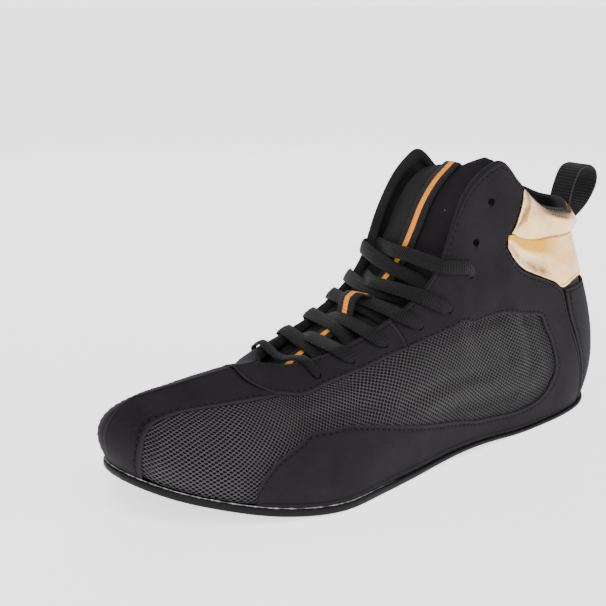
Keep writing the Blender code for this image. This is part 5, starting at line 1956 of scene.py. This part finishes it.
def sew(rows, name, finish, pitch=STITCH_PITCH, scale=1.0):
    """rows: (side, q, h) for every seam; one joined piece of thread."""
    shape = points_of(stitch) * scale
    placed = []
    for side, q, h in rows:
        line = skin(q, h, side, np.full_like(q, STITCH_DEPTH))
        runs = np.concatenate(((0,), np.cumsum(np.linalg.norm(np.diff(line, axis=0), axis=1))))
        spots = np.arange(pitch / 2, runs[-1], pitch)
        qs, hs = np.interp(spots, runs, q), np.interp(spots, runs, h)
        base = skin(qs, hs, side, np.full_like(qs, STITCH_DEPTH))
        ahead = np.stack([np.interp(spots + 0.3 * MM, runs, line[:, i]) for i in range(3)], -1)
        ahead -= np.stack([np.interp(spots - 0.3 * MM, runs, line[:, i]) for i in range(3)], -1)
        ahead /= np.linalg.norm(ahead, axis=-1, keepdims=True)
        normal = last_normal(qs, hs, side)
        aside = np.cross(normal, ahead)
        frame = np.stack((ahead, aside / np.linalg.norm(aside, axis=-1, keepdims=True), normal), 1)
        placed.append(base[:, None] + np.einsum("pk,nkc->npc", shape, frame))
    made = stamp(name, stitch, np.concatenate(placed))
    return hand_over(turn_out(made), finish, None)


print("threads lie", round(-STITCH_DEPTH / MM, 2), "mm deep")

# %% Sew the seams
SEAMS = (                    # pattern, which edge, millimetres in, from and to along the pattern
    (QUARTER_RIBS, 0, 2.0, 0.02, 0.985),
    (QUARTER_RIBS, 1, 2.0, 0.02, 0.24),
    (QUARTER_RIBS, 1, 4.0, 0.03, 0.24),
    (QUARTER_RIBS, 1, 2.0, 0.25, 0.56),
    (EYESTAY_RIBS, 0, 2.0, 0.04, 0.99),
    (EYESTAY_RIBS, 1, 2.0, 0.04, 0.86),
    (TOE_CAP_RIBS, 0, 2.0, 0.02, 0.99),
    (TOE_CAP_RIBS, 0, 3.6, 0.34, 0.99),
    (COUNTER_RIBS, 0, 2.0, 0.06, 0.90),
)
CROSS_ROWS = (0.0068, 0.0128)         # shares of the quarter's pattern, beside the eyestay
CUFF_SEAM = ((1.9, 0.08, 0.999), (3.1, 0.08, 0.999))           # millimetres in, from, to
CUFF_PITCH, CUFF_STITCH = 2.0 * MM, 0.7

rows = [(side, *seam_path(ribs, side, end, inset * MM, first, final))
        for side in BOTH for ribs, end, inset, first, final in SEAMS]
rows += [(side, *on_pattern(QUARTER_RIBS, np.full(90, along), np.linspace(0.06, 0.94, 90)))
         for side in BOTH for along in CROSS_ROWS]
print("seams:", len(rows))
sew(rows, "black_seam_stitches", thread)
gold_rows = [(side, *seam_path(HEEL_PATCH_RIBS, side, 1, inset * MM, first, final))
             for side in BOTH for inset, first, final in CUFF_SEAM]
sew(gold_rows, "yellow_cuff_stitches", gilt_thread, CUFF_PITCH, CUFF_STITCH)
bpy.data.objects.remove(stitch)

# %% [markdown]
# ## Glue line
#
# Along the forefoot a thin bead of dried glue shows between upper and sole. Painting it on the
# sole would make its edge too clean, so it is a small tube swept along the outline, thick and
# thin by turns, whose colour comes and goes.

# %% Glue bead
GLUE_START = 0.60             # s
GLUE_INSET = 1.05 * MM
GLUE_THICKNESS = 0.30         # mm, half of it


def glue_half(side):
    start, end = place_of(GLUE_START), 1.0

    def place(t, w):
        q = start + (end - start) * t
        edge = outline(q, side)
        normal = outward(q, side)
        turn = 2 * np.pi * w
        swell = GLUE_THICKNESS + 0.10 * np.sin(q * 260) + 0.08 * np.sin(q * 711 + side)
        swell = swell * np.clip(t / 0.15, 0.2, 1)
        plan = edge - normal * (GLUE_INSET - np.cos(turn) * swell * MM)[:, None]
        return np.column_stack((plan, sole_top(q) + (0.18 + np.sin(turn) * swell * 0.8) * MM))

    return sheet(f"glue_{side}", 260, 8, place)


glue_line = turn_out(weld(join([glue_half(side) for side in BOTH], "glue_line"), 0.01 * MM))
hand_over(glue_line, glue, "rubber")
